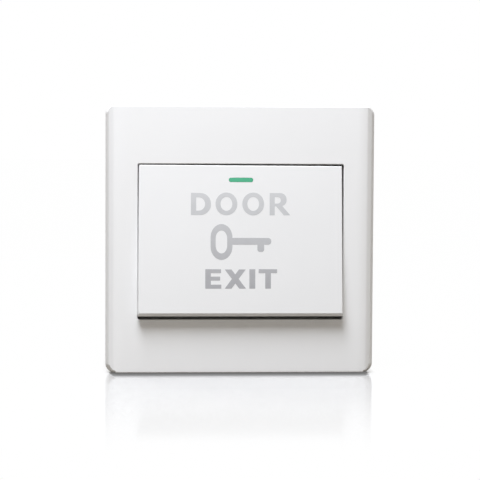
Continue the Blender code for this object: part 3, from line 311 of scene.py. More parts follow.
def coil(piece: Piece, turns: float, rise: float, steps: int) -> None:
    """Winds a profile about the Z axis.

    Args:
        piece: The profile, which is open or closed, beside the axis.
        turns: How many turns it makes.
        rise: How far it climbs in all of them.
        steps: How many steps each turn has.
    """
    pick(piece)
    screw = piece.modifiers.new("winding", "SCREW")
    screw.angle = turns * 2 * math.pi
    screw.screw_offset = rise
    screw.steps = screw.render_steps = round(abs(turns) * steps)
    bpy.ops.object.modifier_apply(modifier=screw.name)


def close_up(piece: Piece) -> None:
    """Merges doubles, fills open ends and turns all faces outwards.

    Args:
        piece: The piece.
    """
    with editing(piece):
        bpy.ops.mesh.select_all(action="SELECT")
        bpy.ops.mesh.remove_doubles(threshold=NEAR)
        bpy.ops.mesh.select_all(action="SELECT")
        bpy.ops.mesh.fill_holes(sides=0)
        bpy.ops.mesh.select_all(action="SELECT")
        bpy.ops.mesh.normals_make_consistent(inside=False)


def twin(piece: Piece, name: str, shift: Corner) -> Piece:
    """A copy of piece with its own mesh, moved by a shift.

    Args:
        piece: The piece.
        name: The copy's name.
        shift: How far the copy is moved.

    Returns:
        The copy.
    """
    made = piece.copy()
    made.data = piece.data.copy()
    made.name = name
    bpy.context.scene.collection.objects.link(made)
    made.location = shift
    return settle(made)


def combine(piece: Piece, tool: Piece, how: Solid) -> None:
    """Joins, cuts or trims piece with tool, which is used up.

    Args:
        piece: The piece that is changed.
        tool: The other piece.
        how: What is done with it.
    """
    pick(piece)
    boolean = piece.modifiers.new(tool.name, "BOOLEAN")
    boolean.operation = how.value
    boolean.solver = "EXACT"
    boolean.object = tool
    bpy.ops.object.modifier_apply(modifier=boolean.name)
    mesh = tool.data
    bpy.data.objects.remove(tool)
    bpy.data.meshes.remove(mesh)


def smooth(piece: Piece, angle: float = 30.0) -> None:
    """Shades piece smooth up to an angle in degrees, with its flat faces kept flat.

    Args:
        piece: The piece.
        angle: The angle.
    """
    pick(piece)
    bpy.ops.object.shade_smooth_by_angle(angle=math.radians(angle))
    weighted = piece.modifiers.new("flat_faces", "WEIGHTED_NORMAL")
    weighted.keep_sharp = True
    bpy.ops.object.modifier_apply(modifier=weighted.name)


def softened_copy(node: str, name: str, radius: float, segments: int = 2) -> Piece:
    """A CAD node's shape as a clean mesh with soft edges.

    Args:
        node: The CAD node.
        name: The new piece's name.
        radius: The radius of its edges.
        segments: How many faces round each edge.

    Returns:
        The new piece, which stands for the node.
    """
    made = bpy.data.objects.new(name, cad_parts[node].data.copy())
    bpy.context.scene.collection.objects.link(made)
    made.data.materials.clear()
    with editing(made):
        bpy.ops.mesh.select_all(action="SELECT")
        bpy.ops.mesh.remove_doubles(threshold=NEAR)
        bpy.ops.mesh.dissolve_limited(angle_limit=ONE_FACE)
    pick(made)
    if made.data.has_custom_normals:
        bpy.ops.mesh.customdata_custom_splitnormals_clear()
    bevel = made.modifiers.new("soft_edges", "BEVEL")
    bevel.width = radius
    bevel.segments = segments
    bevel.limit_method = "ANGLE"
    bevel.angle_limit = SOFT_EDGE
    bpy.ops.object.modifier_apply(modifier=bevel.name)
    smooth(made)
    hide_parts(node)
    return made


def finish(piece: Piece, material: bpy.types.Material) -> None:
    """Gives piece its finish, as the only material of its mesh.

    Args:
        piece: The piece.
        material: The finish.
    """
    piece.data.materials.clear()
    piece.data.materials.append(material)


def fit(piece: Piece, body: str, material: bpy.types.Material) -> None:
    """Finishes piece, lets it ride on a body, and reports it.

    Args:
        piece: The piece.
        body: The body that it rides on.
        material: The finish.
    """
    finish(piece, material)
    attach(piece, body)
    LOG.info("%s rides on %s, %d faces", piece.name, body, len(piece.data.polygons))


# Finishes

class Recipe:
    """A node tree while it is being wired."""

    def __init__(self, tree: bpy.types.NodeTree) -> None:
        """Starts wiring a tree."""
        self.tree = tree

    def node(self, kind: str, **values: object) -> bpy.types.Node:
        """Adds a node.

        Args:
            kind: The node's type, without ShaderNode.
            values: Its settings, and the values of its sockets by their name in lower case.

        Returns:
            The new node.
        """
        made = self.tree.nodes.new("ShaderNode" + kind)
        sockets = {socket.name.lower().replace(" ", "_"): socket for socket in reversed(made.inputs)}
        for name, value in values.items():
            if name in sockets:
                sockets[name].default_value = value
            else:
                setattr(made, name, value)
        return made

    def link(self, source: bpy.types.NodeSocket, target: bpy.types.NodeSocket) -> None:
        """Joins two sockets."""
        self.tree.links.new(source, target)

    def maths(self, operation: str, first: bpy.types.NodeSocket, second: bpy.types.NodeSocket,
              clamp: bool = False) -> bpy.types.NodeSocket:
        """Works out a mask from two others.

        Args:
            operation: What is worked out, in Blender's word.
            first: The first mask.
            second: The second mask.
            clamp: Whether the result stays from 0 to 1.

        Returns:
            The result.
        """
        made = self.node("Math", operation=operation, use_clamp=clamp)
        self.link(first, made.inputs[0])
        self.link(second, made.inputs[1])
        return made.outputs[0]

    def mixed(self, mask: bpy.types.NodeSocket, low: bpy.types.NodeSocket,
              high: bpy.types.NodeSocket) -> bpy.types.NodeSocket:
        """A value that goes from low to high as a mask goes from 0 to 1.

        Args:
            mask: The mask.
            low: The value at 0.
            high: The value at 1.

        Returns:
            The value.
        """
        made = self.node("Mix", data_type="FLOAT")
        self.link(mask, made.inputs[0])
        self.link(low, made.inputs[2])
        self.link(high, made.inputs[3])
        return made.outputs[0]

    def noise(self, scale: bpy.types.NodeSocket, place: bpy.types.NodeSocket,
              detail: float, roughness: float) -> bpy.types.NodeSocket:
        """Adds an uneven pattern.

        Args:
            scale: How fine it is.
            place: The coordinates that it is laid by.
            detail: How many finer layers it has.
            roughness: How strong those layers are.

        Returns:
            The pattern, as a mask.
        """
        made = self.node("TexNoise", detail=detail, roughness=roughness)
        self.link(place, made.inputs["Vector"])
        self.link(scale, made.inputs["Scale"])
        return made.outputs["Fac"]

    def group(self, tree: bpy.types.NodeTree, **values: object) -> bpy.types.Node:
        """Places a shared effect with its own values.

        Args:
            tree: The effect.
            values: Its input values, by their names in lower case.

        Returns:
            The new node.
        """
        made = self.tree.nodes.new("ShaderNodeGroup")
        made.node_tree = tree
        for name, value in values.items():
            made.inputs[name.replace("_", " ").capitalize()].default_value = value
        return made


def shared_effect(name: str, inputs: dict[str, float],
                  outputs: Sequence[str]) -> tuple[Recipe, dict, dict]:
    """Starts a node group that reads object coordinates inside.

    Args:
        name: The group's name.
        inputs: Its input values by name, with their defaults.
        outputs: The names of its outputs.

    Returns:
        The recipe of its tree, its input sockets and its output sockets, by name.
    """
    tree = bpy.data.node_groups.new(name, "ShaderNodeTree")
    for label, value in inputs.items():
        socket = tree.interface.new_socket(name=label, in_out="INPUT", socket_type="NodeSocketFloat")
        socket.default_value = value
    for label in outputs:
        tree.interface.new_socket(name=label, in_out="OUTPUT", socket_type="NodeSocketFloat")
    recipe = Recipe(tree)
    entry = tree.nodes.new("NodeGroupInput")
    end = tree.nodes.new("NodeGroupOutput")
    return recipe, {s.name: s for s in entry.outputs}, {s.name: s for s in end.inputs}


def mould_grain() -> bpy.types.NodeTree:
    """The surface of a moulding: a fine spark texture over a faint, wide waviness.

    Returns:
        A group with a height for bump and an uneven mask for colour and roughness.
    """
    recipe, given, wanted = shared_effect(
        "mould_grain", {"Grain scale": 4000.0, "Wave scale": 60.0, "Wave share": 0.3},
        ["Height", "Mask"])
    place = recipe.node("TexCoord").outputs["Object"]
    grain = recipe.noise(given["Grain scale"], place, detail=3.0, roughness=0.6)
    wave = recipe.noise(given["Wave scale"], place, detail=1.0, roughness=0.4)
    recipe.link(recipe.mixed(given["Wave share"], grain, wave), wanted["Height"])
    recipe.link(wave, wanted["Mask"])
    return recipe.tree


def settled_dust() -> bpy.types.NodeTree:
    """Where fine dust gathers: on faces that look up, in soft patches.

    Returns:
        A group whose mask is 0 where the surface is clean.
    """
    recipe, given, wanted = shared_effect(
        "settled_dust", {"Amount": 0.2, "Patch scale": 150.0}, ["Mask"])
    place = recipe.node("TexCoord")
    patch = recipe.noise(given["Patch scale"], place.outputs["Object"], detail=4.0, roughness=0.65)
    leaning = recipe.node("SeparateXYZ")
    recipe.link(place.outputs["Normal"], leaning.inputs[0])
    upward = spread(recipe, leaning.outputs["Z"], 0.0, 1.0, 0.2, 1.0)
    dusty = recipe.maths("MULTIPLY", upward, patch)
    recipe.link(recipe.maths("MULTIPLY", dusty, given["Amount"]), wanted["Mask"])
    return recipe.tree


def drawn_grain() -> bpy.types.NodeTree:
    """The lines that rolling or turning leaves in metal, with stains of tarnish.

    Returns:
        A group with a height for bump, the lines as a mask, and the stains as another.
    """
    recipe, given, wanted = shared_effect(
        "drawn_grain", {"Line scale": 2500.0, "Stretch": 0.04, "Stain scale": 220.0},
        ["Height", "Lines", "Stains"])
    place = recipe.node("TexCoord").outputs["Object"]
    squeeze = recipe.node("CombineXYZ", x=1.0, y=1.0)
    recipe.link(given["Stretch"], squeeze.inputs["Z"])
    stretched = recipe.node("VectorMath", operation="MULTIPLY")
    recipe.link(place, stretched.inputs[0])
    recipe.link(squeeze.outputs[0], stretched.inputs[1])
    lines = recipe.noise(given["Line scale"], stretched.outputs[0], detail=4.0, roughness=0.7)
    recipe.link(lines, wanted["Height"])
    recipe.link(lines, wanted["Lines"])
    stains = recipe.noise(given["Stain scale"], place, detail=5.0, roughness=0.6)
    recipe.link(stains, wanted["Stains"])
    return recipe.tree


@dataclass(frozen=True)
class Effects:
    """The node groups that several finishes share."""

    grain: bpy.types.NodeTree
    dust: bpy.types.NodeTree
    drawn: bpy.types.NodeTree

    @classmethod
    def build(cls) -> "Effects":
        """Makes each group once."""
        return cls(mould_grain(), settled_dust(), drawn_grain())


def started(name: str) -> tuple[Recipe, bpy.types.Node]:
    """A new material's recipe and its Principled shader.

    Args:
        name: The material's name.

    Returns:
        The recipe and the shader.
    """
    material = bpy.data.materials.new(name)
    material.use_nodes = True
    return Recipe(material.node_tree), material.node_tree.nodes["Principled BSDF"]


def tinted(recipe: Recipe, mask: bpy.types.NodeSocket, pale: Colour,
           deep: Colour) -> bpy.types.NodeSocket:
    """A colour that goes from pale to deep as a mask goes from 0 to 1.

    Args:
        recipe: The node tree that is being wired.
        mask: The mask.
        pale: The colour at 0.
        deep: The colour at 1.

    Returns:
        The colour.
    """
    mix = recipe.node("Mix", data_type="RGBA")
    mix.inputs[6].default_value = (*pale, 1.0)
    mix.inputs[7].default_value = (*deep, 1.0)
    recipe.link(mask, mix.inputs[0])
    return mix.outputs[2]


def spread(recipe: Recipe, mask: bpy.types.NodeSocket, low: float, high: float,
           start: float = 0.3, end: float = 0.7) -> bpy.types.NodeSocket:
    """A value that runs from low to high while a mask runs from start to end.

    Args:
        recipe: The node tree that is being wired.
        mask: The mask.
        low: The value at the start.
        high: The value at the end.
        start: Where the run starts.
        end: Where it ends.

    Returns:
        The value.
    """
    ranged = recipe.node("MapRange", from_min=start, from_max=end, to_min=low, to_max=high)
    recipe.link(mask, ranged.inputs["Value"])
    return ranged.outputs[0]


@dataclass(frozen=True)
class MouldedPlastic:
    """An opaque moulding.

    mottling says where the waviness starts and ends to change the colour, and unevenness how
    far the roughness goes down and up.
    """

    name: str
    colour: Colour
    shade: Colour
    roughness: float
    grain_size: float = 0.00025
    grain_depth: float = 0.000004
    gloss: float = 0.5
    dust: float = 0.0
    dust_colour: Colour = (0.55, 0.52, 0.47)
    mottling: Fade = (0.1, 0.9)
    unevenness: Fade = (0.9, 1.12)

    def material(self, effects: Effects) -> bpy.types.Material:
        """Makes the finish.

        Args:
            effects: The shared node groups.

        Returns:
            The material.
        """
        recipe, shader = started(self.name)
        grain = recipe.group(effects.grain, grain_scale=1 / self.grain_size)
        mask = spread(recipe, grain.outputs["Mask"], 0.0, 1.0, *self.mottling)
        colour = tinted(recipe, mask, self.colour, self.shade)
        if self.dust:
            dust = recipe.group(effects.dust, amount=self.dust)
            grey = recipe.node("Mix", data_type="RGBA")
            grey.inputs[7].default_value = (*self.dust_colour, 1.0)
            recipe.link(dust.outputs["Mask"], grey.inputs[0])
            recipe.link(colour, grey.inputs[6])
            colour = grey.outputs[2]
        recipe.link(colour, shader.inputs["Base Color"])
        glossiest, dullest = (self.roughness * share for share in self.unevenness)
        recipe.link(spread(recipe, mask, glossiest, dullest, 0.0, 1.0), shader.inputs["Roughness"])
        bump = recipe.node("Bump", strength=1.0, distance=self.grain_depth)
        recipe.link(grain.outputs["Height"], bump.inputs["Height"])
        recipe.link(bump.outputs["Normal"], shader.inputs["Normal"])
        shader.inputs["Specular IOR Level"].default_value = self.gloss
        return bpy.data.materials[self.name]


@dataclass(frozen=True)
class PrintInk:
    """Silver-grey pad print, with shade painted in: darker towards its foot, as the light from above
    falls off down the face.
    """

    name: str
    top: Colour
    foot: Colour
    top_height: float
    foot_height: float
    roughness: float = 0.38
    roughness_rise: float = 0.1
    metal_share: float = 0.15
    grain_scale: float = 9000.0
    wave_scale: float = 400.0
    speck: float = 0.06

    def material(self, effects: Effects) -> bpy.types.Material:
        """Makes the finish.

        Args:
            effects: The shared node groups.

        Returns:
            The material.
        """
        recipe, shader = started(self.name)
        place = recipe.node("TexCoord")
        level = recipe.node("SeparateXYZ")
        recipe.link(place.outputs["Object"], level.inputs[0])
        # painted shade: the ink darkens towards its foot as the light from above falls off
        painted_falloff = spread(recipe, level.outputs["Z"], 0.0, 1.0, self.top_height, self.foot_height)
        grain = recipe.group(effects.grain, grain_scale=self.grain_scale,
                             wave_scale=self.wave_scale)
        speck = spread(recipe, grain.outputs["Mask"], -self.speck, self.speck)
        mottled = recipe.maths("ADD", painted_falloff, speck, clamp=True)
        recipe.link(tinted(recipe, mottled, self.top, self.foot), shader.inputs["Base Color"])
        recipe.link(spread(recipe, grain.outputs["Mask"], self.roughness,
                           self.roughness + self.roughness_rise), shader.inputs["Roughness"])
        shader.inputs["Metallic"].default_value = self.metal_share
        return bpy.data.materials[self.name]


@dataclass(frozen=True)
class LensPlastic:
    """The green plastic of the insert, shown as one solid colour under a thin gloss."""

    name: str
    colour: Colour
    deep: Colour
    roughness: float = 0.18
    roughness_rise: float = 0.08
    grain_scale: float = 2500.0
    wave_scale: float = 300.0
    coat: float = 0.1
    coat_roughness: float = 0.08

    def material(self, effects: Effects) -> bpy.types.Material:
        """Makes the finish.

        Args:
            effects: The shared node groups.

        Returns:
            The material.
        """
        recipe, shader = started(self.name)
        grain = recipe.group(effects.grain, grain_scale=self.grain_scale,
                             wave_scale=self.wave_scale)
        mask = spread(recipe, grain.outputs["Mask"], 0.0, 1.0)
        recipe.link(tinted(recipe, mask, self.colour, self.deep), shader.inputs["Base Color"])
        recipe.link(spread(recipe, grain.outputs["Mask"], self.roughness,
                           self.roughness + self.roughness_rise), shader.inputs["Roughness"])
        shader.inputs["Coat Weight"].default_value = self.coat
        shader.inputs["Coat Roughness"].default_value = self.coat_roughness
        return bpy.data.materials[self.name]


@dataclass(frozen=True)
class BareMetal:
    """Rolled, turned or plated metal.

    tarnish says where the stains start and end to change the colour, and unevenness how far
    the roughness goes down and up.
    """

    name: str
    colour: Colour
    stain: Colour
    roughness: float
    stretch: float = 0.04
    line_depth: float = 0.000003
    tarnish: Fade = (0.42, 0.75)
    unevenness: Fade = (0.8, 1.25)

    def material(self, effects: Effects) -> bpy.types.Material:
        """Makes the finish.

        Args:
            effects: The shared node groups.

        Returns:
            The material.
        """
        recipe, shader = started(self.name)
        drawn = recipe.group(effects.drawn, stretch=self.stretch)
        stains = spread(recipe, drawn.outputs["Stains"], 0.0, 1.0, *self.tarnish)
        recipe.link(tinted(recipe, stains, self.colour, self.stain), shader.inputs["Base Color"])
        glossiest, dullest = (self.roughness * share for share in self.unevenness)
        recipe.link(spread(recipe, drawn.outputs["Lines"], glossiest, dullest),
                    shader.inputs["Roughness"])
        bump = recipe.node("Bump", strength=1.0, distance=self.line_depth)
        recipe.link(drawn.outputs["Height"], bump.inputs["Height"])
        recipe.link(bump.outputs["Normal"], shader.inputs["Normal"])
        shader.inputs["Metallic"].default_value = 1.0
        return bpy.data.materials[self.name]


@dataclass(frozen=True)
class Finishes:
    """Every finish of the object, made once."""

    frame_white: bpy.types.Material
    rocker_white: bpy.types.Material
    green: bpy.types.Material
    ink: bpy.types.Material
    yoke: bpy.types.Material
    housing: bpy.types.Material
    base: bpy.types.Material
    plunger: bpy.types.Material
    brass: bpy.types.Material
    bronze: bpy.types.Material
    silver: bpy.types.Material
    steel: bpy.types.Material

    @classmethod
    def build(cls) -> "Finishes":
        """Makes every finish with its own values.

        Returns:
            The set of finishes.
        """
        recipes = {
            "frame_white": MouldedPlastic("frame_white", (0.875, 0.875, 0.875),
                                          (0.86, 0.86, 0.86), 0.38, gloss=0.32),
            "rocker_white": MouldedPlastic("rocker_white", (0.82, 0.82, 0.82),
                                           (0.805, 0.805, 0.805), 0.32, gloss=0.40),
            "green": LensPlastic("green_lens", (0.072, 0.425, 0.240), (0.061, 0.39, 0.215)),
            # the print's foot colour is painted shade, darker where less light from above falls
            "ink": PrintInk("silver_ink", (0.575, 0.58, 0.59), (0.385, 0.385, 0.40),
                            top_height=0.0150, foot_height=-0.0160),
            "yoke": MouldedPlastic("yoke_moulding", (0.74, 0.74, 0.72),
                                   (0.68, 0.68, 0.66), 0.5, dust=0.3),
            "housing": MouldedPlastic("housing_moulding", (0.58, 0.58, 0.56),
                                      (0.53, 0.53, 0.51), 0.5, dust=0.3),
            "base": MouldedPlastic("base_moulding", (0.055, 0.055, 0.06),
                                   (0.045, 0.045, 0.05), 0.45, dust=0.3),
            "plunger": MouldedPlastic("plunger_moulding", (0.80, 0.79, 0.74),
                                      (0.77, 0.76, 0.71), 0.4),
            "brass": BareMetal("stamped_brass", (0.78, 0.60, 0.28), (0.55, 0.40, 0.18), 0.28),
            "bronze": BareMetal("spring_bronze", (0.72, 0.48, 0.30), (0.52, 0.32, 0.18), 0.28),
            "silver": BareMetal("silver_contact", (0.88, 0.87, 0.84), (0.66, 0.64, 0.58), 0.24),
            "steel": BareMetal("zinc_steel", (0.70, 0.71, 0.72), (0.55, 0.56, 0.55), 0.30,
                               stretch=0.6),
        }
        effects = Effects.build()
        return cls(**{name: recipe.material(effects) for name, recipe in recipes.items()})


# The sub-assemblies

@dataclass
class FaceFrame:
    """The outer trim, a shallow shell that clips over the yoke.

    Its front is flat up to a shoulder near each side, and then slopes back. A steep rim runs round
    the front. At the lower corners, within corner_rim_reach of their radius, it is wider by
    corner_rim. At the upper ones it is narrower: corner_fill says how near to the corner's
    middle, in degrees, the rim's line moves out how far.
    """

    side: float = 0.0878
    top: float = 0.0437
    foot: float = -0.04345
    depth: float = 0.0090
    corner: float = 0.00285
    inner_side: float = 0.0824
    front_wall: float = 0.0020
    rim_width: float = 0.00035
    side_rim_width: float = 0.00105
    top_rim_width: float = 0.00015
    rim_depth: float = 0.0026
    corner_rim: float = 0.0003
    corner_rim_reach: float = 0.9
    corner_fill: tuple[tuple[float, float], ...] = (
        (40.0, 0.00004), (28.0, 0.00010), (17.0, 0.00010))
    edge: float = 0.00025
    crease_at: float = 0.0415
    crease_edge: float = 0.00018
    shoulder: float = 0.0034
    shoulder_drop: float = 0.0006
    shoulder_strips: int = 8
    flank_slope: float = 0.80
    opening_width: float = 0.0669
    opening_top: float = 0.0249
    opening_bottom: float = -0.0258
    opening_corner: float = 0.0006
    opening_aside: float = 0.0001
    collar_wall: float = 0.0012
    collar_depth: float = 0.0045
    rib: float = 0.0010
    rib_depth: float = 0.0012
    rib_lap: float = 0.0008
    rib_places: tuple[float, ...] = (-0.028, 0.0, 0.028)
    side_rib_places: tuple[float, ...] = (-0.010, 0.010)
    catch_places: tuple[float, ...] = (-0.026, 0.026)
    catch_length: float = 0.0080
    catch_reach: float = 0.0012
    catch_back: float = -0.0003
    catch_front: float = -0.0012
    catch_ramp: float = 0.0006
    notch_width: float = 0.0080
    notch_depth: float = 0.0012

    def front_at(self, x: float) -> float:
        """The y of the front at x: flat, then a soft shoulder, then the flank.

        Args:
            x: The place, left or right of the middle.

        Returns:
            The y of the front.
        """
        past_crease = abs(x) - self.crease_at
        over_shoulder = min(max((past_crease + self.shoulder) / self.shoulder, 0.0), 1.0)
        over_flank = min(max(past_crease, 0.0), self.front_side - self.crease_at)
        return -self.depth + self.shoulder_drop * over_shoulder ** 2 + self.flank_slope * over_flank

    @property
    def front_side(self) -> float:
        """The x of the front's right side, where the rim starts."""
        return self.side / 2 - self.side_rim_width

    @property
    def front_foot(self) -> float:
        """The z of the front's foot, where the rim starts."""
        return self.foot + self.rim_width

    @property
    def front_top(self) -> float:
        """The z of the front's top, where the rim starts."""
        return self.top - self.top_rim_width

    @property
    def front_corner(self) -> float:
        """The radius of the front's corners."""
        return self.corner - self.rim_width

    def round_opening(self, margin: float, front: float, back: float, name: str) -> Piece:
        """A block with the opening's outline, grown by a margin, between two levels.

        Args:
            margin: How much larger it is all round.
            front: The y of its front.
            back: The y of its back.
            name: The new object's name.

        Returns:
            The block.
        """
        half = self.opening_width / 2 + margin
        return rounded_block(name, (-half, front, self.opening_bottom - margin),
                             (half + self.opening_aside, back, self.opening_top + margin),
                             self.opening_corner + margin)

    def build(self) -> Piece:
        """Models the frame from a block, then its hollow, collar, ribs and opening.

        Returns:
            The frame, which stands for the CAD node.
        """
        half = self.side / 2
        shell = rounded_block("face_frame_shell", (-half, -self.depth, self.foot),
                              (half, 0.0, self.top), self.corner)
        self.shape_front(shell)
        inner = self.inner_side / 2
        inside = -self.depth + self.front_wall
        combine(shell, rounded_block("hollow", (-inner, inside, -inner), (inner, PAST, inner),
                                     self.corner / 2), Solid.CUT)
        combine(shell, self.round_opening(self.collar_wall, inside - SUNK,
                                          -self.depth + self.collar_depth, "collar"), Solid.JOIN)
        for rib in self.ribs(inside):
            combine(shell, rib, Solid.JOIN)
        combine(shell, self.round_opening(0.0, -self.depth - PAST, PAST, "opening"), Solid.CUT)
        self.round_rim(shell)
        for side in (-1, 1):
            for level in self.catch_places:
                combine(shell, self.catch(side, level), Solid.JOIN)
        combine(shell, block("notch", (-self.notch_width / 2, -self.notch_depth, self.foot - PAST),
                             (self.notch_width / 2, PAST, -inner + PAST)), Solid.CUT)
        smooth(shell)
        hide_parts("face_frame")
        return shell

    def dress(self, finishes: Finishes) -> None:
        """Builds the frame in its finish."""
        fit(self.build(), "mounting", finishes.frame_white)

    def ribs(self, inside: float) -> list[Piece]:
        """The stiffening ribs between the collar and the frame's walls.

        Args:
            inside: The y of the front wall's inner face.

        Returns:
            The ribs, to be joined on.
        """
        low, high = inside - SUNK, inside + self.rib_depth
        out = self.inner_side / 2 + SUNK
        above, below = self.opening_top + self.rib_lap, self.opening_bottom - self.rib_lap
        half = self.rib / 2
        made = []
        for x in self.rib_places:
            for near, far in ((above, out), (-out, below)):
                made.append(block("rib", (x - half, low, near), (x + half, high, far)))
        near = self.opening_width / 2 + self.rib_lap
        for z in self.side_rib_places:
            for left, right in ((near, out), (-out, -near)):
                made.append(block("rib", (left, low, z - half), (right, high, z + half)))
        return made

    def catch(self, side: int, level: float) -> Piece:
        """A snap catch inside a side wall, ramped where the yoke pushes past it.

        Args:
            side: -1 for the left and 1 for the right.
            level: The height of its middle.

        Returns:
            The catch, to be joined on.
        """
        wall = side * (self.inner_side / 2 + SUNK)
        tip = side * (self.inner_side / 2 - self.catch_reach)
        half = self.catch_length / 2
        made = block("catch", (min(wall, tip), self.catch_front, level - half),
                     (max(wall, tip), self.catch_back, level + half))
        with editing(made):
            choose(Element.VERT, lambda vert: abs(vert.co.x - tip) < NEAR
                   and vert.co.y > self.catch_front + NEAR)
            bpy.ops.transform.translate(value=(0, -self.catch_ramp, 0))
        return made

    def shape_front(self, shell: Piece) -> None:
        """Gives the front its steep rim, and bends it back towards its left and right sides.

        Args:
            shell: The frame's block.
        """
        with editing(shell):
            self.draw_rim()
            self.shape_corners()
            choose(Element.VERT, lambda vert: self.on_front(vert) and not self.inside_rim(vert))
            bpy.ops.transform.translate(value=(0, self.rim_depth, 0))
            self.bend_sides(shell)
        round_edges(shell, self.on_outline, self.edge)
        round_edges(shell, self.on_crease, self.crease_edge, segments=3)

    def draw_rim(self) -> None:
        """Insets the front face of the block that is being edited, by as much as the rim is wide."""
        half = self.side / 2
        choose(Element.FACE, lambda face: face.normal.y < -FRONTWARD)
        bpy.ops.mesh.inset(thickness=self.rim_width)
        across = self.front_side / (half - self.rim_width)
        upward = (self.front_top - self.front_foot) / (self.top - self.rim_width - self.front_foot)
        bpy.ops.transform.resize(value=(across, 1, upward),
                                 center_override=(0, -self.depth, self.front_foot))

    def shape_corners(self) -> None:
        """Moves the rim's line in at the lower corners, and out at the upper ones."""
        for side in (-1, 1):
            choose(Element.VERT, lambda vert, at=side: self.inside_rim(vert)
                   and self.in_lower_corner(vert.co, at))
            bpy.ops.transform.translate(value=(-side * self.corner_rim, 0, self.corner_rim))
            for reach, shift in self.corner_fill:
                choose(Element.VERT, lambda vert, at=side, within=reach: self.inside_rim(vert)
                       and abs(self.turn_in_upper_corner(vert.co, at) - 45.0) < within)
                bpy.ops.transform.translate(value=(side * shift, 0, shift))

    def bend_sides(self, shell: Piece) -> None:
        """Cuts the front into upright strips, and moves their edges back to where front_at says.

        Args:
            shell: The block that is being edited.
        """
        step = self.shoulder / self.shoulder_strips
        stations = [self.crease_at - step * i for i in range(self.shoulder_strips + 1)]
        for x in stations + [-station for station in stations]:
            choose(Element.FACE, lambda face: face.normal.y < -RIMWARD)
            bpy.ops.mesh.bisect(plane_co=(x, 0, 0), plane_no=(1, 0, 0))
        rim_foot = self.rim_depth - self.depth
        verts = bmesh.from_edit_mesh(shell.data).verts
        for reach in sorted({round(abs(vert.co.x), 6) for vert in verts}):
            drop = self.front_at(reach) + self.depth
            if drop > 0:
                choose(Element.VERT, lambda vert, at=reach: round(abs(vert.co.x), 6) == at
                       and vert.co.y < rim_foot + NEAR)
                bpy.ops.transform.translate(value=(0, drop, 0))

    def on_front(self, vert: bmesh.types.BMVert) -> bool:
        """Whether a corner of the mesh is as far in front as the frame reaches."""
        return vert.co.y < NEAR - self.depth

    def inside_rim(self, vert: bmesh.types.BMVert) -> bool:
        """Whether a corner of the mesh is on the front, and not on the block's own outline."""
        return self.on_front(vert) and all(face.normal.y < -FRONTWARD for face in vert.link_faces)

    def in_lower_corner(self, place: Vector, side: int) -> bool:
        """Whether a point of the front's outline is within the round of a lower corner.

        Args:
            place: The point.
            side: -1 for the left and 1 for the right.

        Returns:
            Whether it is there.
        """
        inward = self.front_side - place.x * side
        upward = place.z - self.front_foot
        reach = self.corner_rim_reach * self.front_corner
        return APART < inward < reach and APART < upward < reach

    def turn_in_upper_corner(self, place: Vector, side: int) -> float:
        """How far round an upper corner a point of the front lies, in degrees up from level.

        Args:
            place: The point.
            side: -1 for the left and 1 for the right.

        Returns:
            The angle, or 0 outside the corner.
        """
        aside = place.x * side - (self.front_side - self.front_corner)
        up = place.z - (self.front_top - self.front_corner)
        return math.degrees(math.atan2(up, aside)) if aside > 0 and up > 0 else 0.0

    def on_outline(self, edge: bmesh.types.BMEdge) -> bool:
        """Whether an edge is where the front meets its steep rim."""
        fronts = [face.normal.y < -FRONTWARD for face in edge.link_faces]
        return any(fronts) and not all(fronts)

    def on_crease(self, edge: bmesh.types.BMEdge) -> bool:
        """Whether an edge is the crease between shoulder and flank."""
        return (all(abs(abs(vert.co.x) - self.crease_at) < NEAR for vert in edge.verts)
                and all(face.normal.y < -FRONTWARD for face in edge.link_faces))

    def round_rim(self, shell: Piece) -> None:
        """Rounds the front edge of the opening.

        Args:
            shell: The frame so far.
        """
        reach = self.opening_width / 2 + self.opening_aside + NEAR
        round_edges(shell, lambda edge: all(
            abs(vert.co.y + self.depth) < NEAR and abs(vert.co.x) < reach
            and self.opening_bottom - NEAR < vert.co.z < self.opening_top + NEAR
            for vert in edge.verts), self.edge)


@dataclass
class Indicator:
    """The green insert that fills a slot near the rocker's top from behind."""

    length: float = 0.0079
    height: float = 0.00143
    level: float = 0.01935
    face: float = -0.0093
    depth: float = 0.0023
    play: float = 0.00004
    window_depth: float = 0.0030
    flange_margin: float = 0.0011
    flange_front: float = -0.0074
    flange_back: float = -0.0066
    edge: float = 0.00010
    roundness: float = 0.995

    def stadium(self, name: str, grow: float, front: float, back: float) -> Piece:
        """A bar with half-round ends, larger all round than the insert by grow.

        Args:
            name: The new object's name.
            grow: How much larger it is all round.
            front: The y of its front.
            back: The y of its back.

        Returns:
            The bar.
        """
        half_x, half_z = self.length / 2 + grow, self.height / 2 + grow
        return rounded_block(name, (-half_x, front, self.level - half_z),
                             (half_x, back, self.level + half_z), half_z * self.roundness,
                             segments=10)

    def window(self) -> Piece:
        """The cutter of the slot in the rocker."""
        return self.stadium("window", self.play, self.face - PAST, self.face + self.window_depth)

    def build(self) -> Piece:
        """Models the insert, with a soft edge in front and its flange inside.

        Returns:
            The insert, which stands for the CAD node.
        """
        insert = self.stadium("indicator_insert", 0.0, self.face, self.face + self.depth)
        round_edges(insert, lambda edge: all(vert.co.y < self.face + NEAR for vert in edge.verts),
                    self.edge)
        flange = self.stadium("flange", self.flange_margin, self.flange_front, self.flange_back)
        combine(insert, flange, Solid.JOIN)
        smooth(insert)
        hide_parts("indicator_lens")
        return insert


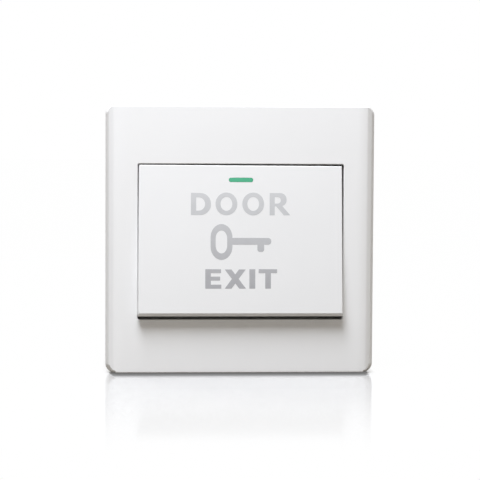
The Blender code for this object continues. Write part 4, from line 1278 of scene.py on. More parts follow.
@dataclass
class Print:
    """The generic words and key that say what the button does, printed on the rocker's face.

    Each letter is drawn from the left end and the foot of its place. Each piece of the key is
    given by its left, right, lower and upper end, and by the height of its half ovals or the
    radius of its corners.
    """

    face: float = -0.0093
    film: float = 0.00003
    stem: float = 0.00165
    bar: float = 0.00128
    overshoot: float = 0.00005
    i_width: float = 0.0019
    door_places: tuple[float, ...] = (-0.0162, -0.0083, 0.0004, 0.0093)
    exit_places: tuple[float, ...] = (-0.0116, -0.0053, 0.0027, 0.0057)
    key_bow: tuple[float, ...] = (-0.0099, -0.0028, -0.0066, 0.0050, 0.0044)
    key_hole: tuple[float, ...] = (-0.00825, -0.0045, -0.0045, 0.0029, 0.0026)
    key_shaft: tuple[float, ...] = (-0.0034, 0.0098, -0.00168, 0.00053, 0.0010)
    key_bit: tuple[float, ...] = (0.0053, 0.0075, -0.0040, -0.0008, 0.0008)
    door_foot: float = 0.0079
    door_height: float = 0.0072
    exit_foot: float = -0.0159
    exit_height: float = 0.0063
    round_steps: int = 14
    oval_sides: int = 64
    cutter_thickness: int = 50

    def ink(self, left: float, right: float, foot: float, top: float) -> Piece:
        """A square patch of ink on the face."""
        return block("ink", (left, self.face - self.film, foot), (right, self.face + self.film, top))

    def round_ink(self, left: float, right: float, foot: float, top: float, radius: float,
                  sides: Sequence[int] = (-1, 1)) -> Piece:
        """A patch of ink whose corners on the given sides are round.

        Args:
            left: Its left end.
            right: Its right end.
            foot: Its lower end.
            top: Its upper end.
            radius: The corners' radius.
            sides: -1 for its left corners and 1 for its right ones.

        Returns:
            The patch.
        """
        made = self.ink(left, right, foot, top)
        middle = (left + right) / 2
        round_edges(made, lambda edge: runs_along_y(edge) and any(
            (edge.verts[0].co.x - middle) * side > 0 for side in sides), radius, self.round_steps)
        return made

    def oval(self, left: float, right: float, foot: float, top: float) -> Piece:
        """A round patch of ink.

        Args:
            left: Its left end.
            right: Its right end.
            foot: Its lower end.
            top: Its upper end.

        Returns:
            The patch.
        """
        made = rod("ink", 0.5, (0, -0.5, 0), 1.0, Axis.Y, self.oval_sides)
        made.scale = (right - left, 2 * self.film, top - foot)
        made.location = ((left + right) / 2, self.face, (foot + top) / 2)
        return settle(made)

    def long_oval(self, left: float, right: float, foot: float, top: float, end: float) -> Piece:
        """A patch of ink with straight sides, whose ends are half ovals of a given height.

        Args:
            left: Its left end.
            right: Its right end.
            foot: Its lower end.
            top: Its upper end.
            end: The height of each half oval.

        Returns:
            The patch.
        """
        made = self.oval(left, right, foot, foot + 2 * end)
        with editing(made):
            choose(Element.VERT, lambda vert: vert.co.z > foot + end + NEAR)
            bpy.ops.transform.translate(value=(0, 0, top - foot - 2 * end))
        return made

    def slant(self, top_left: float, foot_left: float, foot: float, top: float,
              width: float) -> Piece:
        """A leaning stroke, whose ends are level.

        Args:
            top_left: Where its upper end starts.
            foot_left: Where its lower end starts.
            foot: Its lower end.
            top: Its upper end.
            width: How wide its ends are.

        Returns:
            The stroke.
        """
        made = self.ink(foot_left, foot_left + width, foot, top)
        with editing(made):
            choose(Element.VERT, lambda vert: vert.co.z > (foot + top) / 2)
            bpy.ops.transform.translate(value=(top_left - foot_left, 0, 0))
        return made

    def pierce(self, patch: Piece, hole: Piece) -> None:
        """Cuts a hole through a patch, with another patch made thick for it.

        Args:
            patch: The patch that gets the hole.
            hole: The other patch, which is used up.
        """
        hole.location.y = -self.face * (self.cutter_thickness - 1)
        hole.scale.y = self.cutter_thickness
        combine(patch, settle(hole), Solid.CUT)

    def letter_d(self, left: float, foot: float) -> Piece:
        """The letter D.

        Args:
            left: The letter's left end.
            foot: The line that it stands on.

        Returns:
            The letter.
        """
        right, top, bow = left + 0.00645, foot + self.door_height, 0.0035
        hole_right, bar, hole_bow = left + 0.0045, 0.00145, 0.0021
        made = self.round_ink(left - self.overshoot, right, foot, top, bow, (1,))
        self.pierce(made, self.round_ink(left + self.stem, hole_right, foot + bar, top - bar,
                                         hole_bow, (1,)))
        return made

    def letter_o(self, left: float, foot: float) -> Piece:
        """The letter O.

        Args:
            left: The letter's left end.
            foot: The line that it stands on.

        Returns:
            The letter.
        """
        right, top = left + 0.0071, foot + 0.00735
        hole_foot, hole_top = foot + 0.0014, foot + 0.0059
        made = self.oval(left, right, foot - self.overshoot, top)
        self.pierce(made, self.oval(left + self.stem, right - self.stem, hole_foot, hole_top))
        return made

    def letter_r(self, left: float, foot: float) -> Piece:
        """The letter R.

        Args:
            left: The letter's left end.
            foot: The line that it stands on.

        Returns:
            The letter.
        """
        right, bowl_foot, top, bow = left + 0.0055, foot + 0.0029, foot + self.door_height, 0.0020
        hole_right, hole_foot, hole_top, hole_bow = left + 0.0036, foot + 0.0038, foot + 0.0059, 0.0010
        stem_top, leg_top, leg_width = foot + 0.0060, foot + 0.0034, 0.0021
        leg_start, leg_end = left + 0.0017, left + 0.0046
        made = self.round_ink(left, right, bowl_foot, top, bow, (1,))
        self.pierce(made, self.round_ink(left + self.stem, hole_right, hole_foot, hole_top,
                                         hole_bow, (1,)))
        combine(made, self.ink(left, left + self.stem, foot, stem_top), Solid.JOIN)
        combine(made, self.slant(leg_start, leg_end, foot, leg_top, leg_width), Solid.JOIN)
        return made

    def letter_e(self, left: float, foot: float) -> Piece:
        """The letter E.

        Args:
            left: The letter's left end.
            foot: The line that it stands on.

        Returns:
            The letter.
        """
        thicker, lap = 0.00015, 0.0005
        made = self.ink(left, left + self.stem + thicker, foot, foot + self.exit_height)
        for low, reach in ((0.0, 0.0052), (0.0026, 0.0048), (0.0050, 0.0051)):
            bar = self.ink(left + lap, left + reach, foot + low, foot + low + self.bar)
            combine(made, bar, Solid.JOIN)
        return made

    def letter_x(self, left: float, foot: float) -> Piece:
        """The letter X.

        Args:
            left: The letter's left end.
            foot: The line that it stands on.

        Returns:
            The letter.
        """
        top, width = foot + 0.0062, 0.0022
        right_foot, right_top = left + 0.0047, left + 0.0046
        made = self.slant(left, right_foot, foot, top, width)
        combine(made, self.slant(right_top, left, foot, top, width), Solid.JOIN)
        return made

    def letter_i(self, left: float, foot: float) -> Piece:
        """The letter I."""
        return self.ink(left, left + self.i_width, foot, foot + self.exit_height)

    def letter_t(self, left: float, foot: float) -> Piece:
        """The letter T.

        Args:
            left: The letter's left end.
            foot: The line that it stands on.

        Returns:
            The letter.
        """
        right, top = left + 0.0060, foot + self.exit_height
        stem_left, stem_right, stem_top = left + 0.00215, left + 0.00400, foot + 0.0060
        made = self.ink(left, right, top - self.bar, top)
        combine(made, self.ink(stem_left, stem_right, foot, stem_top), Solid.JOIN)
        return made

    def key_sign(self) -> Piece:
        """The sign of a key: an upright bow, a shaft with a round end and one bit.

        Returns:
            The sign.
        """
        made = self.long_oval(*self.key_bow)
        self.pierce(made, self.long_oval(*self.key_hole))
        combine(made, self.round_ink(*self.key_shaft, (1,)), Solid.JOIN)
        combine(made, self.round_ink(*self.key_bit), Solid.JOIN)
        made.name = "print_key"
        return made

    def build(self) -> list[Piece]:
        """Lays out both words and the key between them.

        Returns:
            The upper word, the key and the lower word.
        """
        door = zip((self.letter_d, self.letter_o, self.letter_o, self.letter_r), self.door_places)
        way_out = zip((self.letter_e, self.letter_x, self.letter_i, self.letter_t),
                      self.exit_places)
        return [gathered([letter(left, self.door_foot) for letter, left in door], "print_door"),
                self.key_sign(),
                gathered([letter(left, self.exit_foot) for letter, left in way_out], "print_exit")]


@dataclass
class Rocker:
    """The key that is pressed, modelled as it stands when pressed and then let go.

    It hangs a little askew: each entry of skew names a quarter by the signs of x and z, and says
    how far that quarter is moved aside and up.
    """

    width: float = 0.0663
    top: float = 0.02415
    foot: float = -0.0249
    front: float = -0.0093
    skirt_back: float = -0.0029
    skirt_rise: float = 0.0012
    front_wall: float = 0.0018
    skirt_wall: float = 0.0015
    draft: float = 0.00021
    draft_depth: float = 0.0028
    chamfer_height: float = 0.0009
    chamfer_depth: float = 0.0015
    chamfer_edge: float = 0.0002
    corner: float = 0.0008
    edge: float = 0.0004
    hinge_y: float = -0.0046
    hinge_z: float = 0.0195
    press_angle: float = 5.0
    skew: tuple[tuple[int, int, float, float], ...] = (
        (-1, 1, 0.00008, 0.00008), (1, 1, -0.00022, -0.00018),
        (-1, -1, -0.00008, 0.0), (1, -1, -0.00002, 0.0))
    rib: float = 0.0010
    rib_depth: float = 0.0016
    rib_top: float = 0.0158
    presser_width: float = 0.0120
    presser_height: float = 0.0030
    presser_level: float = -0.0020
    presser_tip: float = -0.0048
    presser_roundness: float = 0.98
    lug_inner: float = 0.02595
    lug_thickness: float = 0.0020
    lug_radius: float = 0.0019
    pin_radius: float = 0.0013
    pin_length: float = 0.0023
    pin_edge: float = 0.0002
    hook_x: float = 0.0180
    hook_width: float = 0.0050
    hook_levels: tuple[float, float, float] = (-0.02265, -0.02165, -0.02015)
    hook_step: float = 0.0040
    hook_end: float = 0.0052
    hook_edge: float = 0.0006
    indicator: Indicator = field(default_factory=Indicator)
    lettering: Print = field(default_factory=Print)

    @property
    def inside(self) -> float:
        """The y of the front wall's inner face."""
        return self.front + self.front_wall

    def build(self, window: Piece) -> Piece:
        """Models the rocker and lets it go.

        Args:
            window: The cutter of the indicator's slot.

        Returns:
            The rocker at rest, which stands for the CAD node.
        """
        shell = self.outer_body()
        side = self.width / 2 - self.skirt_wall
        low = self.foot + self.skirt_wall
        hollow = rounded_block("hollow", (-side, self.inside, low),
                               (side, PAST, self.top - self.skirt_wall), self.corner, segments=5)
        combine(shell, hollow, Solid.CUT)
        root = self.inside - SUNK
        for x in (-self.hook_x, 0.0, self.hook_x):
            rib = block("rib", (x - self.rib / 2, root, low - SUNK),
                        (x + self.rib / 2, self.inside + self.rib_depth, self.rib_top))
            combine(shell, rib, Solid.JOIN)
        combine(shell, self.presser(root), Solid.JOIN)
        for side in (-1, 1):
            for part in self.hinge(side, root) + self.hook(side * self.hook_x, root):
                combine(shell, part, Solid.JOIN)
        combine(shell, window, Solid.CUT)
        smooth(shell)
        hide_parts("rocker")
        return self.let_go(shell)

    def dress(self, finishes: Finishes) -> None:
        """Builds the rocker, its indicator and its print in their finishes.

        Args:
            finishes: Every finish of the object.
        """
        fit(self.build(self.indicator.window()), "rocker", finishes.rocker_white)
        fit(self.let_go(self.indicator.build()), "rocker", finishes.green)
        for patch in self.lettering.build():
            fit(self.let_go(patch), "rocker", finishes.ink)

    def outer_body(self) -> Piece:
        """The rocker's outside: a block with a sloping rear rim, a chamfer and soft edges.

        Returns:
            The outside, still solid.
        """
        half = self.width / 2
        body = block("rocker_shell", (-half, self.front, self.foot), (half, self.skirt_back, self.top))
        with editing(body):
            choose(Element.VERT, lambda vert: vert.co.y > self.hinge_y and vert.co.z > 0)
            bpy.ops.transform.translate(value=(0, -self.skirt_rise, 0))
            bpy.ops.mesh.select_all(action="SELECT")
            bpy.ops.mesh.bisect(plane_co=(0, self.front + self.draft_depth, 0), plane_no=(0, 1, 0))
            for side in (-1, 1):
                choose(Element.VERT, lambda vert, at=side: vert.co.x * at > 0
                       and vert.co.y > self.front + self.draft_depth - NEAR)
                bpy.ops.transform.translate(value=(side * self.draft, 0, 0))
            bpy.ops.mesh.select_all(action="SELECT")
            outward = Vector((0, -self.chamfer_height, -self.chamfer_depth)).normalized()
            bpy.ops.mesh.bisect(plane_co=(0, self.front, self.foot + self.chamfer_height),
                                plane_no=outward, use_fill=True, clear_outer=True)
        weigh_edges(body, self.at_corner, 1.0)
        weigh_edges(body, lambda edge: self.upright_front(edge)
                    or self.across(edge) and not self.low(edge), self.edge / self.corner)
        weigh_edges(body, lambda edge: self.across(edge) and self.low(edge),
                    self.chamfer_edge / self.corner)
        round_weighed(body, self.corner, segments=5)
        with editing(body):
            for side, level, aside, up in self.skew:
                choose(Element.VERT, lambda vert, x=side, z=level: vert.co.x * x > 0
                       and vert.co.z * z > 0)
                bpy.ops.transform.translate(value=(aside, 0, up))
        return body

    def across(self, edge: bmesh.types.BMEdge) -> bool:
        """Whether an edge runs from left to right, in front of the skirt.

        Args:
            edge: The edge.

        Returns:
            Whether it does.
        """
        first, second = (vert.co for vert in edge.verts)
        chamfer_back = self.front + self.chamfer_depth
        return (abs(first.x - second.x) > APART
                and max(first.y, second.y) < chamfer_back + APART)

    def low(self, edge: bmesh.types.BMEdge) -> bool:
        """Whether an edge is at the chamfer's height or below."""
        return max(vert.co.z for vert in edge.verts) < self.foot + self.chamfer_height + APART

    def upright_front(self, edge: bmesh.types.BMEdge) -> bool:
        """Whether an edge runs up the left or right side of the front face."""
        first, second = (vert.co for vert in edge.verts)
        return max(first.y, second.y) < self.front + APART and abs(first.x - second.x) < APART

    def at_corner(self, edge: bmesh.types.BMEdge) -> bool:
        """Whether an edge runs back along one of the rocker's four corners.

        Args:
            edge: The edge.

        Returns:
            Whether it does.
        """
        first, second = (vert.co for vert in edge.verts)
        on_rear_slope = (min(first.y, second.y) > self.front + APART
                         and abs(first.z - second.z) > APART)
        return (abs(first.x - second.x) < APART and abs(first.y - second.y) > APART
                and not on_rear_slope)

    def presser(self, root: float) -> Piece:
        """The pad that pushes the plunger, with a half-round end.

        Args:
            root: The y that it starts from, just inside the front wall.

        Returns:
            The pad, to be joined on.
        """
        half = self.presser_height / 2
        pad = block("presser", (-self.presser_width / 2, root, self.presser_level - half),
                    (self.presser_width / 2, self.presser_tip, self.presser_level + half))
        round_edges(pad, lambda edge: all(vert.co.y > self.presser_tip - NEAR for vert in edge.verts)
                    and abs(edge.verts[0].co.x - edge.verts[1].co.x) > APART,
                    half * self.presser_roundness, segments=8)
        return pad

    def hinge(self, side: int, root: float) -> list[Piece]:
        """One hinge lug with its web and its pin, as pieces to join.

        Args:
            side: -1 for the left and 1 for the right.
            root: The y that it starts from, just inside the front wall.

        Returns:
            The lug, the web and the pin.
        """
        axis_y, axis_z, radius = self.hinge_y, self.hinge_z, self.lug_radius
        inner = side * self.lug_inner
        outer = side * (self.lug_inner + self.lug_thickness)
        left, right = min(inner, outer), max(inner, outer)
        lug = rod("lug", radius, (left, axis_y, axis_z), right - left, Axis.X, sides=40)
        web = block("web", (left, root, axis_z - radius), (right, axis_y, axis_z + radius))
        start = outer - side * SUNK
        pin = rod("pin", self.pin_radius, (start, axis_y, axis_z),
                  side * (self.pin_length + SUNK), Axis.X)
        tip = abs(outer) + self.pin_length
        round_edges(pin, lambda edge: all(abs(vert.co.x) > tip - NEAR for vert in edge.verts),
                    self.pin_edge, segments=2)
        return [lug, web, pin]

    def hook(self, x: float, root: float) -> list[Piece]:
        """One stop hook, as the pieces of its arm and its barb.

        Args:
            x: The middle of the hook.
            root: The y that it starts from, just inside the front wall.

        Returns:
            The arm and the barb.
        """
        half = self.hook_width / 2
        barb_foot, low, high = self.hook_levels
        arm = block("arm", (x - half, root, low), (x + half, self.hook_end, high))
        barb = block("barb", (x - half, self.hook_step, barb_foot),
                     (x + half, self.hook_end, low + SUNK))
        round_edges(barb, lambda edge: all(
            vert.co.y > self.hook_end - NEAR and vert.co.z < barb_foot + NEAR
            for vert in edge.verts), self.hook_edge, segments=1)
        return [arm, barb]

    def let_go(self, piece: Piece) -> Piece:
        """Turns a piece of the rocker about the hinge, from pressed to rest.

        Args:
            piece: The piece, as it stands when pressed.

        Returns:
            The same piece.
        """
        hinge = Vector((0, self.hinge_y, self.hinge_z))
        turn = Matrix.Rotation(math.radians(-self.press_angle), 4, "X")
        piece.matrix_world = Matrix.Translation(hinge) @ turn @ Matrix.Translation(-hinge)
        return settle(piece)


@dataclass
class Yoke:
    """The carrier behind the frame, which is screwed to the wall box."""

    edge: float = 0.00012

    def dress(self, finishes: Finishes) -> None:
        """Builds the yoke in its finish."""
        fit(softened_copy("mounting_yoke", "yoke_dressed", self.edge),
            "mounting", finishes.yoke)


@dataclass
class Screw:
    """A pan-headed screw that points to the front, with a cross recess and a rolled thread.

    The dome and the recess are shares of the head's height or radius. crest says where the
    thread's flat crest starts and ends, as shares of the pitch.
    """

    x: float
    seat: float
    head_radius: float
    head_height: float
    shank_radius: float
    reach: float
    pitch: float = 0.0006
    thread_depth: float = 0.0002
    crest: Fade = (0.45, 0.55)
    thread_steps: int = 24
    seat_edge: float = 0.0001
    dome: float = 0.4
    recess_depth: float = 0.55
    recess_reach: float = 0.62
    recess_half: float = 0.10
    recess_taper: float = 0.7

    def head(self) -> Piece:
        """The head, domed at its rim, with the recess sunk in it.

        Returns:
            The head.
        """
        top = self.seat + self.head_height
        made = rod("head", self.head_radius, (self.x, self.seat, 0.0), self.head_height, Axis.Y,
                   sides=48)
        round_edges(made, lambda edge: all(vert.co.y > top - NEAR for vert in edge.verts),
                    self.head_height * self.dome, segments=5)
        round_edges(made, lambda edge: all(vert.co.y < self.seat + NEAR for vert in edge.verts),
                    self.seat_edge, segments=2)
        arm, half = self.head_radius * self.recess_reach, self.head_radius * self.recess_half
        floor = top - self.head_height * self.recess_depth
        recess = block("recess", (self.x - half, floor, -arm), (self.x + half, top + PAST, arm))
        cross = block("arm", (self.x - arm, floor, -half), (self.x + arm, top + PAST, half))
        combine(recess, cross, Solid.JOIN)
        with editing(recess):
            choose(Element.VERT, lambda vert: vert.co.y < floor + NEAR)
            bpy.ops.transform.resize(value=(self.recess_taper, 1.0, self.recess_taper),
                                     center_override=(self.x, floor, 0.0))
        combine(made, recess, Solid.CUT)
        return made

    def shank(self) -> Piece:
        """The thread, wound from its V-shaped profile and closed at both ends.

        Returns:
            The threaded shank.
        """
        inner, outer = self.shank_radius - self.thread_depth, self.shank_radius
        start, end = (self.pitch * share for share in self.crest)
        ridge = drawn_line("thread", [(inner, 0, 0), (outer, 0, start), (outer, 0, end),
                                      (inner, 0, self.pitch)])
        turns = math.floor((self.reach + SUNK) / self.pitch) - 1
        coil(ridge, turns, turns * self.pitch, self.thread_steps)
        close_up(ridge)
        ridge.rotation_euler = (-math.pi / 2, 0, 0)
        ridge.location = (self.x, self.seat - self.reach, 0)
        return settle(ridge)

    def build(self, node: str) -> Piece:
        """Joins head and shank to the screw that stands for a CAD node.

        Args:
            node: The CAD node.

        Returns:
            The screw.
        """
        made = gathered([self.head(), self.shank()], node + "_dressed")
        smooth(made)
        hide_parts(node)
        return made


@dataclass
class SwitchUnit:
    """The switch behind the yoke: its housing, the terminal base, the plunger and two screws.

    screw_sizes holds the radius and height of the head, the radius of the shank and its reach.
    """

    edge: float = 0.00010
    screw_x: float = 0.0222
    screw_seat: float = 0.0024
    screw_sizes: tuple[float, ...] = (0.0025, 0.0016, 0.0012, 0.0061)

    def dress(self, finishes: Finishes) -> None:
        """Builds the unit's pieces in their finishes.

        Args:
            finishes: Every finish of the object.
        """
        for node, body, slot, material in (
                ("switch_housing", "mounting", "housing_plastic", finishes.housing),
                ("terminal_base", "mounting", "base_plastic", finishes.base),
                ("plunger", "plunger", "plunger_plastic", finishes.plunger)):
            fit(softened_copy(node, node + "_dressed", self.edge), body, material)
        for side, name in ((-1, "left"), (1, "right")):
            screw = Screw(side * self.screw_x, self.screw_seat, *self.screw_sizes)
            fit(screw.build("housing_screw_" + name), "mounting", finishes.steel)


@dataclass
class ContactSet:
    """The changeover contacts: a leaf that carries one of them between two fixed ones."""

    edge: float = 0.00008

    def dress(self, finishes: Finishes) -> None:
        """Builds the contacts in their finishes.

        Args:
            finishes: Every finish of the object.
        """
        for node, body, slot, material in (
                ("contact_leaf", "contact_leaf", "spring_bronze", finishes.bronze),
                ("leaf_contact", "contact_leaf", "silver_contact", finishes.silver),
                ("no_contact", "mounting", "silver_contact", finishes.silver),
                ("nc_contact", "mounting", "silver_contact", finishes.silver),
                ("leaf_rivet", "mounting", "brass_strip", finishes.brass)):
            fit(softened_copy(node, node + "_dressed", self.edge), body, material)


@dataclass
class TerminalSet:
    """The three terminals, each with its plate, its clamp and its screw.

    screw_sizes holds the radius and height of the head, the radius of the shank and its reach.
    """

    places: tuple[tuple[str, float], ...] = (("com", 0.0), ("no", 0.0115), ("nc", -0.0115))
    edge: float = 0.00008
    screw_seat: float = 0.0190
    screw_sizes: tuple[float, ...] = (0.0029, 0.0020, 0.0015, 0.0057)

    def dress(self, finishes: Finishes) -> None:
        """Builds the terminals in their finishes.

        Args:
            finishes: Every finish of the object.
        """
        for name, x in self.places:
            fit(softened_copy(name + "_terminal", name + "_terminal_dressed", self.edge),
                "mounting", finishes.brass)
            fit(softened_copy(name + "_clamp", name + "_clamp_dressed", self.edge),
                "mounting", finishes.steel)
            screw = Screw(x, self.screw_seat, *self.screw_sizes)
            fit(screw.build(name + "_terminal_screw"), "mounting", finishes.brass)


@dataclass
class ReturnSprings:
    """Two coil springs between the plunger's flange and the base."""

    reach: float = 0.0095
    level: float = -0.0020
    radius: float = 0.0028
    wire: float = 0.00055
    start: float = 0.000275
    end: float = 0.011425
    closed_rise: float = 0.0006325
    open_turns: float = 4.5
    steps: int = 20
    wire_sides: int = 12

    def winding(self, angle: float, turns: float, start: float, rise: float) -> Piece:
        """One stretch of the coil, about the Z axis.

        Args:
            angle: Where it starts, in degrees.
            turns: How many turns it makes.
            start: The height of its start.
            rise: How far it climbs.

        Returns:
            The open tube of wire.
        """
        bpy.ops.object.select_all(action="DESELECT")
        bpy.ops.mesh.primitive_circle_add(vertices=self.wire_sides, radius=self.wire / 2,
                                          location=(self.radius, 0, start),
                                          rotation=(math.pi / 2, 0, 0))
        made = settle(bpy.context.object)
        coil(made, -turns, rise, self.steps)
        made.rotation_euler = (0, 0, math.radians(-angle))
        return settle(made)

    def build(self) -> Piece:
        """Winds one spring: a closed turn at each end, and open turns between them.

        Returns:
            The spring, in the middle between its two places.
        """
        middle = self.start + self.closed_rise
        last = self.end - self.closed_rise
        spring = gathered([
            self.winding(0, 1, self.start, self.closed_rise),
            self.winding(0, self.open_turns, middle, last - middle),
            self.winding(360 * self.open_turns, 1, last, self.closed_rise)], "spring")
        close_up(spring)
        spring.rotation_euler = (-math.pi / 2, 0, 0)
        spring.location = (0, 0, self.level)
        settle(spring)
        smooth(spring, angle=60)
        return spring

    def dress(self, finishes: Finishes) -> None:
        """Builds both springs in their finish.

        Args:
            finishes: Every finish of the object.
        """
        right = self.build()
        left = twin(right, "return_spring_left_dressed", (-self.reach, 0, 0))
        right.name = "return_spring_right_dressed"
        right.location.x = self.reach
        settle(right)
        for piece, node, x in ((left, "return_spring_left", -self.reach),
                               (right, "return_spring_right", self.reach)):
            finish(piece, finishes.steel)
            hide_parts(node)
            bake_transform(piece)
            LOG.info("%s bends between plunger and mounting, %d faces", piece.name,
                     len(piece.data.polygons))


def towards(azimuth: float, elevation: float) -> Vector:
    """The direction to a point seen from the object at these angles, left and up, in degrees."""
    left, up = math.radians(azimuth), math.radians(elevation)
    return Vector((-math.sin(left) * math.cos(up), -math.cos(left) * math.cos(up), math.sin(up)))


def facing(place: Vector, aim: Corner) -> Quaternion:
    """The turn that lets a camera or a lamp at a place look at aim."""
    return (place - Vector(aim)).to_track_quat("Z", "Y")


def seen(recipe: Recipe, ray: bpy.types.Node) -> bpy.types.NodeSocket:
    """Whether a ray ends in the picture, straight or by a reflection, and isn't plain light."""
    straight = recipe.maths("MAXIMUM", ray.outputs["Is Camera Ray"], ray.outputs["Is Glossy Ray"])
    return recipe.maths("MAXIMUM", straight, ray.outputs["Is Transmission Ray"])


@dataclass(frozen=True)
class SoftBox:
    """A rectangular lamp, placed by its angles to the left and up, in degrees."""

    name: str
    azimuth: float
    elevation: float
    distance: float
    size: tuple[float, float]
    power: float
    colour: Colour = (1.0, 1.0, 1.0)
    aim: Corner = (0.0, 0.0, 0.0)

    def hang(self) -> None:
        """Makes the lamp, which the camera doesn't see."""
        data = bpy.data.lights.new(self.name, "AREA")
        data.shape = "RECTANGLE"
        data.size, data.size_y = self.size
        data.energy = self.power
        data.color = self.colour
        lamp = bpy.data.objects.new(self.name, data)
        bpy.context.scene.collection.objects.link(lamp)
        lamp.location = towards(self.azimuth, self.elevation) * self.distance
        lamp.rotation_mode = "QUATERNION"
        lamp.rotation_quaternion = facing(lamp.location, self.aim)
        lamp.visible_camera = False


@dataclass
class Floor:
    """The ground that the object stands on: glossy and pale by the object, white further away.

    Each pair of places says where a zone starts to fade in or out, and where it has done so.
    The floor's roughness is polished, and dull in the contact shadow that is painted under the object's
    foot, where it mirrors nothing.
    """

    side: float = 8.0
    level: float = -0.04380
    forward: Fade = (-0.040, -0.150)
    behind: Fade = (0.015, 0.080)
    behind_share: float = 0.8
    aside: Fade = (0.0424, 0.0452)
    mirrored_aside: Fade = (0.048, 0.060)
    aside_share: float = 0.98
    # The contact shadow painted under the object's foot: where it fades in at the front and out behind
    # and at the sides, how far its front corners are cut, and how much white glow lifts it.
    painted_shadow_front: Fade = (-0.0166, -0.0108)
    painted_shadow_back: Fade = (0.010, 0.030)
    painted_shadow_side: Fade = (0.0415, 0.0428)
    painted_shadow_corner: Fade = (-0.0092, -0.0166)
    painted_shadow_corner_cut: float = 0.0016
    painted_shadow_glow: float = 0.17
    half_width: float = 0.043
    # Painted light and shade by the object: darker towards the left, where the key lamp lights the
    # floor, and paler towards the right, where the object's shadow falls.
    left_painted_tone: Colour = (0.625, 0.625, 0.625)
    right_painted_tone: Colour = (0.735, 0.735, 0.735)
    # The dark colour of the painted contact shadow.
    painted_shadow_tone: Colour = (0.10, 0.10, 0.10)
    lit_tone: Colour = (0.22, 0.20, 0.17)
    polished: float = 0.08
    dull: float = 0.9
    mirror: float = 0.5

    def lay(self) -> None:
        """Makes the floor."""
        bpy.ops.object.select_all(action="DESELECT")
        bpy.ops.mesh.primitive_plane_add(size=self.side, location=(0, 0, self.level))
        floor = settle(bpy.context.object)
        floor.name = "studio_floor"
        floor.data.materials.append(self.material())

    def material(self) -> bpy.types.Material:
        """Makes the floor's look.

        Returns:
            The material.
        """
        recipe, shader = started("studio_floor")
        place = recipe.node("SeparateXYZ")
        recipe.link(recipe.node("TexCoord").outputs["Object"], place.inputs[0])
        sideways = recipe.node("Math", operation="ABSOLUTE")
        recipe.link(place.outputs["X"], sideways.inputs[0])
        ray = recipe.node("LightPath")
        camera = ray.outputs["Is Camera Ray"]
        # painted shade: a contact shadow painted on the floor under the object's foot
        under = self.under(recipe, sideways.outputs[0], place.outputs["Y"])
        away = self.away(recipe, sideways.outputs[0], place.outputs["Y"], camera)
        # the painted contact shadow is lifted to grey by a share of white glow
        white = recipe.maths("MAXIMUM", away, spread(recipe, under, 0.0, self.painted_shadow_glow, 0.0, 1.0))
        self.paint(recipe, shader, place.outputs["X"], under, camera)
        glow = recipe.node("Emission", strength=1.0)
        mix = recipe.node("MixShader")
        recipe.link(recipe.maths("MULTIPLY", white, seen(recipe, ray)), mix.inputs[0])
        recipe.link(shader.outputs[0], mix.inputs[1])
        recipe.link(glow.outputs[0], mix.inputs[2])
        material = bpy.data.materials["studio_floor"]
        recipe.link(mix.outputs[0], material.node_tree.nodes["Material Output"].inputs["Surface"])
        return material

    def away(self, recipe: Recipe, sideways: bpy.types.NodeSocket, along: bpy.types.NodeSocket,
             camera: bpy.types.NodeSocket) -> bpy.types.NodeSocket:
        """Where the floor fades to white in front, behind and at the sides of the object.

        Args:
            recipe: The node tree that is being wired.
            sideways: The distance from the middle, to the left or the right.
            along: The place from front to back.
            camera: Whether the camera sees it straight.

        Returns:
            A mask that is 1 where the floor is white.
        """
        mirrored = spread(recipe, sideways, 0.0, self.aside_share, *self.mirrored_aside)
        straight = spread(recipe, sideways, 0.0, self.aside_share, *self.aside)
        ends = recipe.maths("MAXIMUM", spread(recipe, along, 0.0, 1.0, *self.forward),
                            spread(recipe, along, 0.0, self.behind_share, *self.behind))
        return recipe.maths("MAXIMUM", ends, recipe.mixed(camera, mirrored, straight))

    def under(self, recipe: Recipe, sideways: bpy.types.NodeSocket,
              along: bpy.types.NodeSocket) -> bpy.types.NodeSocket:
        """A contact shadow painted on the floor under the object's foot, with its front corners cut
        off.

        Args:
            recipe: The node tree that is being wired.
            sideways: The distance from the middle, to the left or the right.
            along: The place from front to back.

        Returns:
            A mask that is 1 where the painted shadow is full.
        """
        depth = recipe.maths("MULTIPLY", spread(recipe, along, 0.0, 1.0, *self.painted_shadow_front),
                             spread(recipe, along, 1.0, 0.0, *self.painted_shadow_back))
        cut = spread(recipe, along, 0.0, self.painted_shadow_corner_cut, *self.painted_shadow_corner)
        reach = recipe.maths("ADD", sideways, cut)
        return recipe.maths("MULTIPLY", depth, spread(recipe, reach, 1.0, 0.0, *self.painted_shadow_side))

    def paint(self, recipe: Recipe, shader: bpy.types.Node, across: bpy.types.NodeSocket,
              under: bpy.types.NodeSocket, camera: bpy.types.NodeSocket) -> None:
        """Colours the floor: painted darker towards the left, where the key lamp lights it, and paler
        towards the right, where the object's shadow falls, with a contact shadow painted dark and dull
        under the object's foot.

        Args:
            recipe: The node tree that is being wired.
            shader: The floor's shader.
            across: The place from left to right.
            under: The mask of the contact shadow painted under the object's foot.
            camera: Whether the camera sees it straight.
        """
        # painted light and shade: paler towards the right to even out the key lamp's light and the
        # object's shadow
        rightward = spread(recipe, across, 0.0, 1.0, -self.half_width, self.half_width)
        pale = recipe.node("Mix", data_type="RGBA")
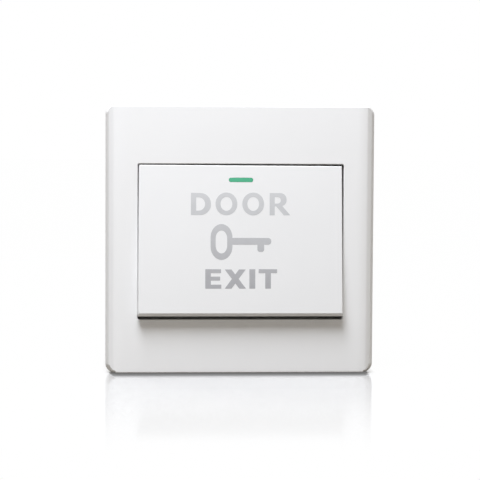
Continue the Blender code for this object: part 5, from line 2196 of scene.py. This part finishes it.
        # painted shade: the contact shadow's dark tone under the foot
        pale.inputs[7].default_value = (*self.painted_shadow_tone, 1.0)
        recipe.link(under, pale.inputs[0])
        recipe.link(tinted(recipe, rightward, self.left_painted_tone, self.right_painted_tone), pale.inputs[6])
        tone = recipe.node("Mix", data_type="RGBA")
        tone.inputs[6].default_value = (*self.lit_tone, 1.0)
        recipe.link(camera, tone.inputs[0])
        recipe.link(pale.outputs[2], tone.inputs[7])
        recipe.link(tone.outputs[2], shader.inputs["Base Color"])
        recipe.link(spread(recipe, under, self.polished, self.dull, 0.0, 1.0),
                    shader.inputs["Roughness"])
        recipe.link(spread(recipe, under, self.mirror, 0.0, 0.0, 1.0),
                    shader.inputs["Specular IOR Level"])


@dataclass
class Studio:
    """The camera at the photograph's angle, soft light and the floor.

    The world lights by ambient, more from the right by the share lean_aside, and more from above
    by the share lean_above. To the camera and in reflections it is plain white.
    """

    distance: float = 0.600
    azimuth: float = 3.53
    elevation: float = 3.49
    roll: float = 0.308
    lens: float = 136.33
    sensor: float = 36.0
    aim: Corner = (0.00034, 0.0, -0.00035)
    ambient: float = 0.26
    lean_aside: float = 0.55
    lean_above: float = 0.30
    world_colour: Colour = (1.0, 0.93, 0.83)
    lamps: tuple[SoftBox, ...] = (
        SoftBox("key_box", azimuth=20, elevation=60, distance=0.60, size=(0.28, 0.30),
                power=5.25, colour=(0.96, 0.99, 1.05), aim=(-0.20, 0.0, 0.0)),
        SoftBox("back_box", azimuth=150, elevation=35, distance=0.60, size=(0.40, 0.40),
                power=1.6))
    floor: Floor = field(default_factory=Floor)

    def place_camera(self) -> None:
        """Makes the camera and the scene's active one of it."""
        data = bpy.data.cameras.new("camera")
        data.lens = self.lens
        data.sensor_width = self.sensor
        camera = bpy.data.objects.new("camera", data)
        bpy.context.scene.collection.objects.link(camera)
        camera.location = towards(self.azimuth, self.elevation) * self.distance
        level = facing(camera.location, self.aim)
        camera.rotation_mode = "QUATERNION"
        camera.rotation_quaternion = level @ Quaternion((0, 0, 1), math.radians(self.roll))
        bpy.context.scene.camera = camera

    def light_world(self) -> None:
        """Makes the world."""
        world = bpy.data.worlds.new("studio")
        world.use_nodes = True
        bpy.context.scene.world = world
        recipe = Recipe(world.node_tree)
        background = world.node_tree.nodes["Background"]
        eye = seen(recipe, recipe.node("LightPath"))
        lean = recipe.node("VectorMath", operation="DOT_PRODUCT")
        recipe.link(recipe.node("TexCoord").outputs["Generated"], lean.inputs[0])
        lean.inputs[1].default_value = (self.lean_aside, 0.0, self.lean_above)
        strength = recipe.node("Mix", data_type="FLOAT")
        strength.inputs[3].default_value = 1.0
        recipe.link(eye, strength.inputs[0])
        recipe.link(spread(recipe, lean.outputs["Value"], 0.0, 2 * self.ambient, -1.0, 1.0),
                    strength.inputs[2])
        recipe.link(strength.outputs[0], background.inputs["Strength"])
        recipe.link(tinted(recipe, eye, self.world_colour, (1.0, 1.0, 1.0)), background.inputs["Color"])

    def build(self) -> None:
        """Sets up everything that isn't part of the object."""
        self.place_camera()
        self.light_world()
        for lamp in self.lamps:
            lamp.hang()
        self.floor.lay()
        bpy.context.scene.view_settings.view_transform = "Standard"


def main() -> None:
    """Builds the object's looks, and the studio round it."""
    logging.basicConfig(level=logging.INFO, format="%(name)s: %(message)s")
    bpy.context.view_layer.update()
    finishes = Finishes.build()
    for unit in (FaceFrame(), Rocker(), Yoke(), SwitchUnit(), ContactSet(), TerminalSet(),
                 ReturnSprings()):
        LOG.info("building %s", type(unit).__name__)
        unit.dress(finishes)
    Studio().build()


if __name__ == "__main__":
    main()
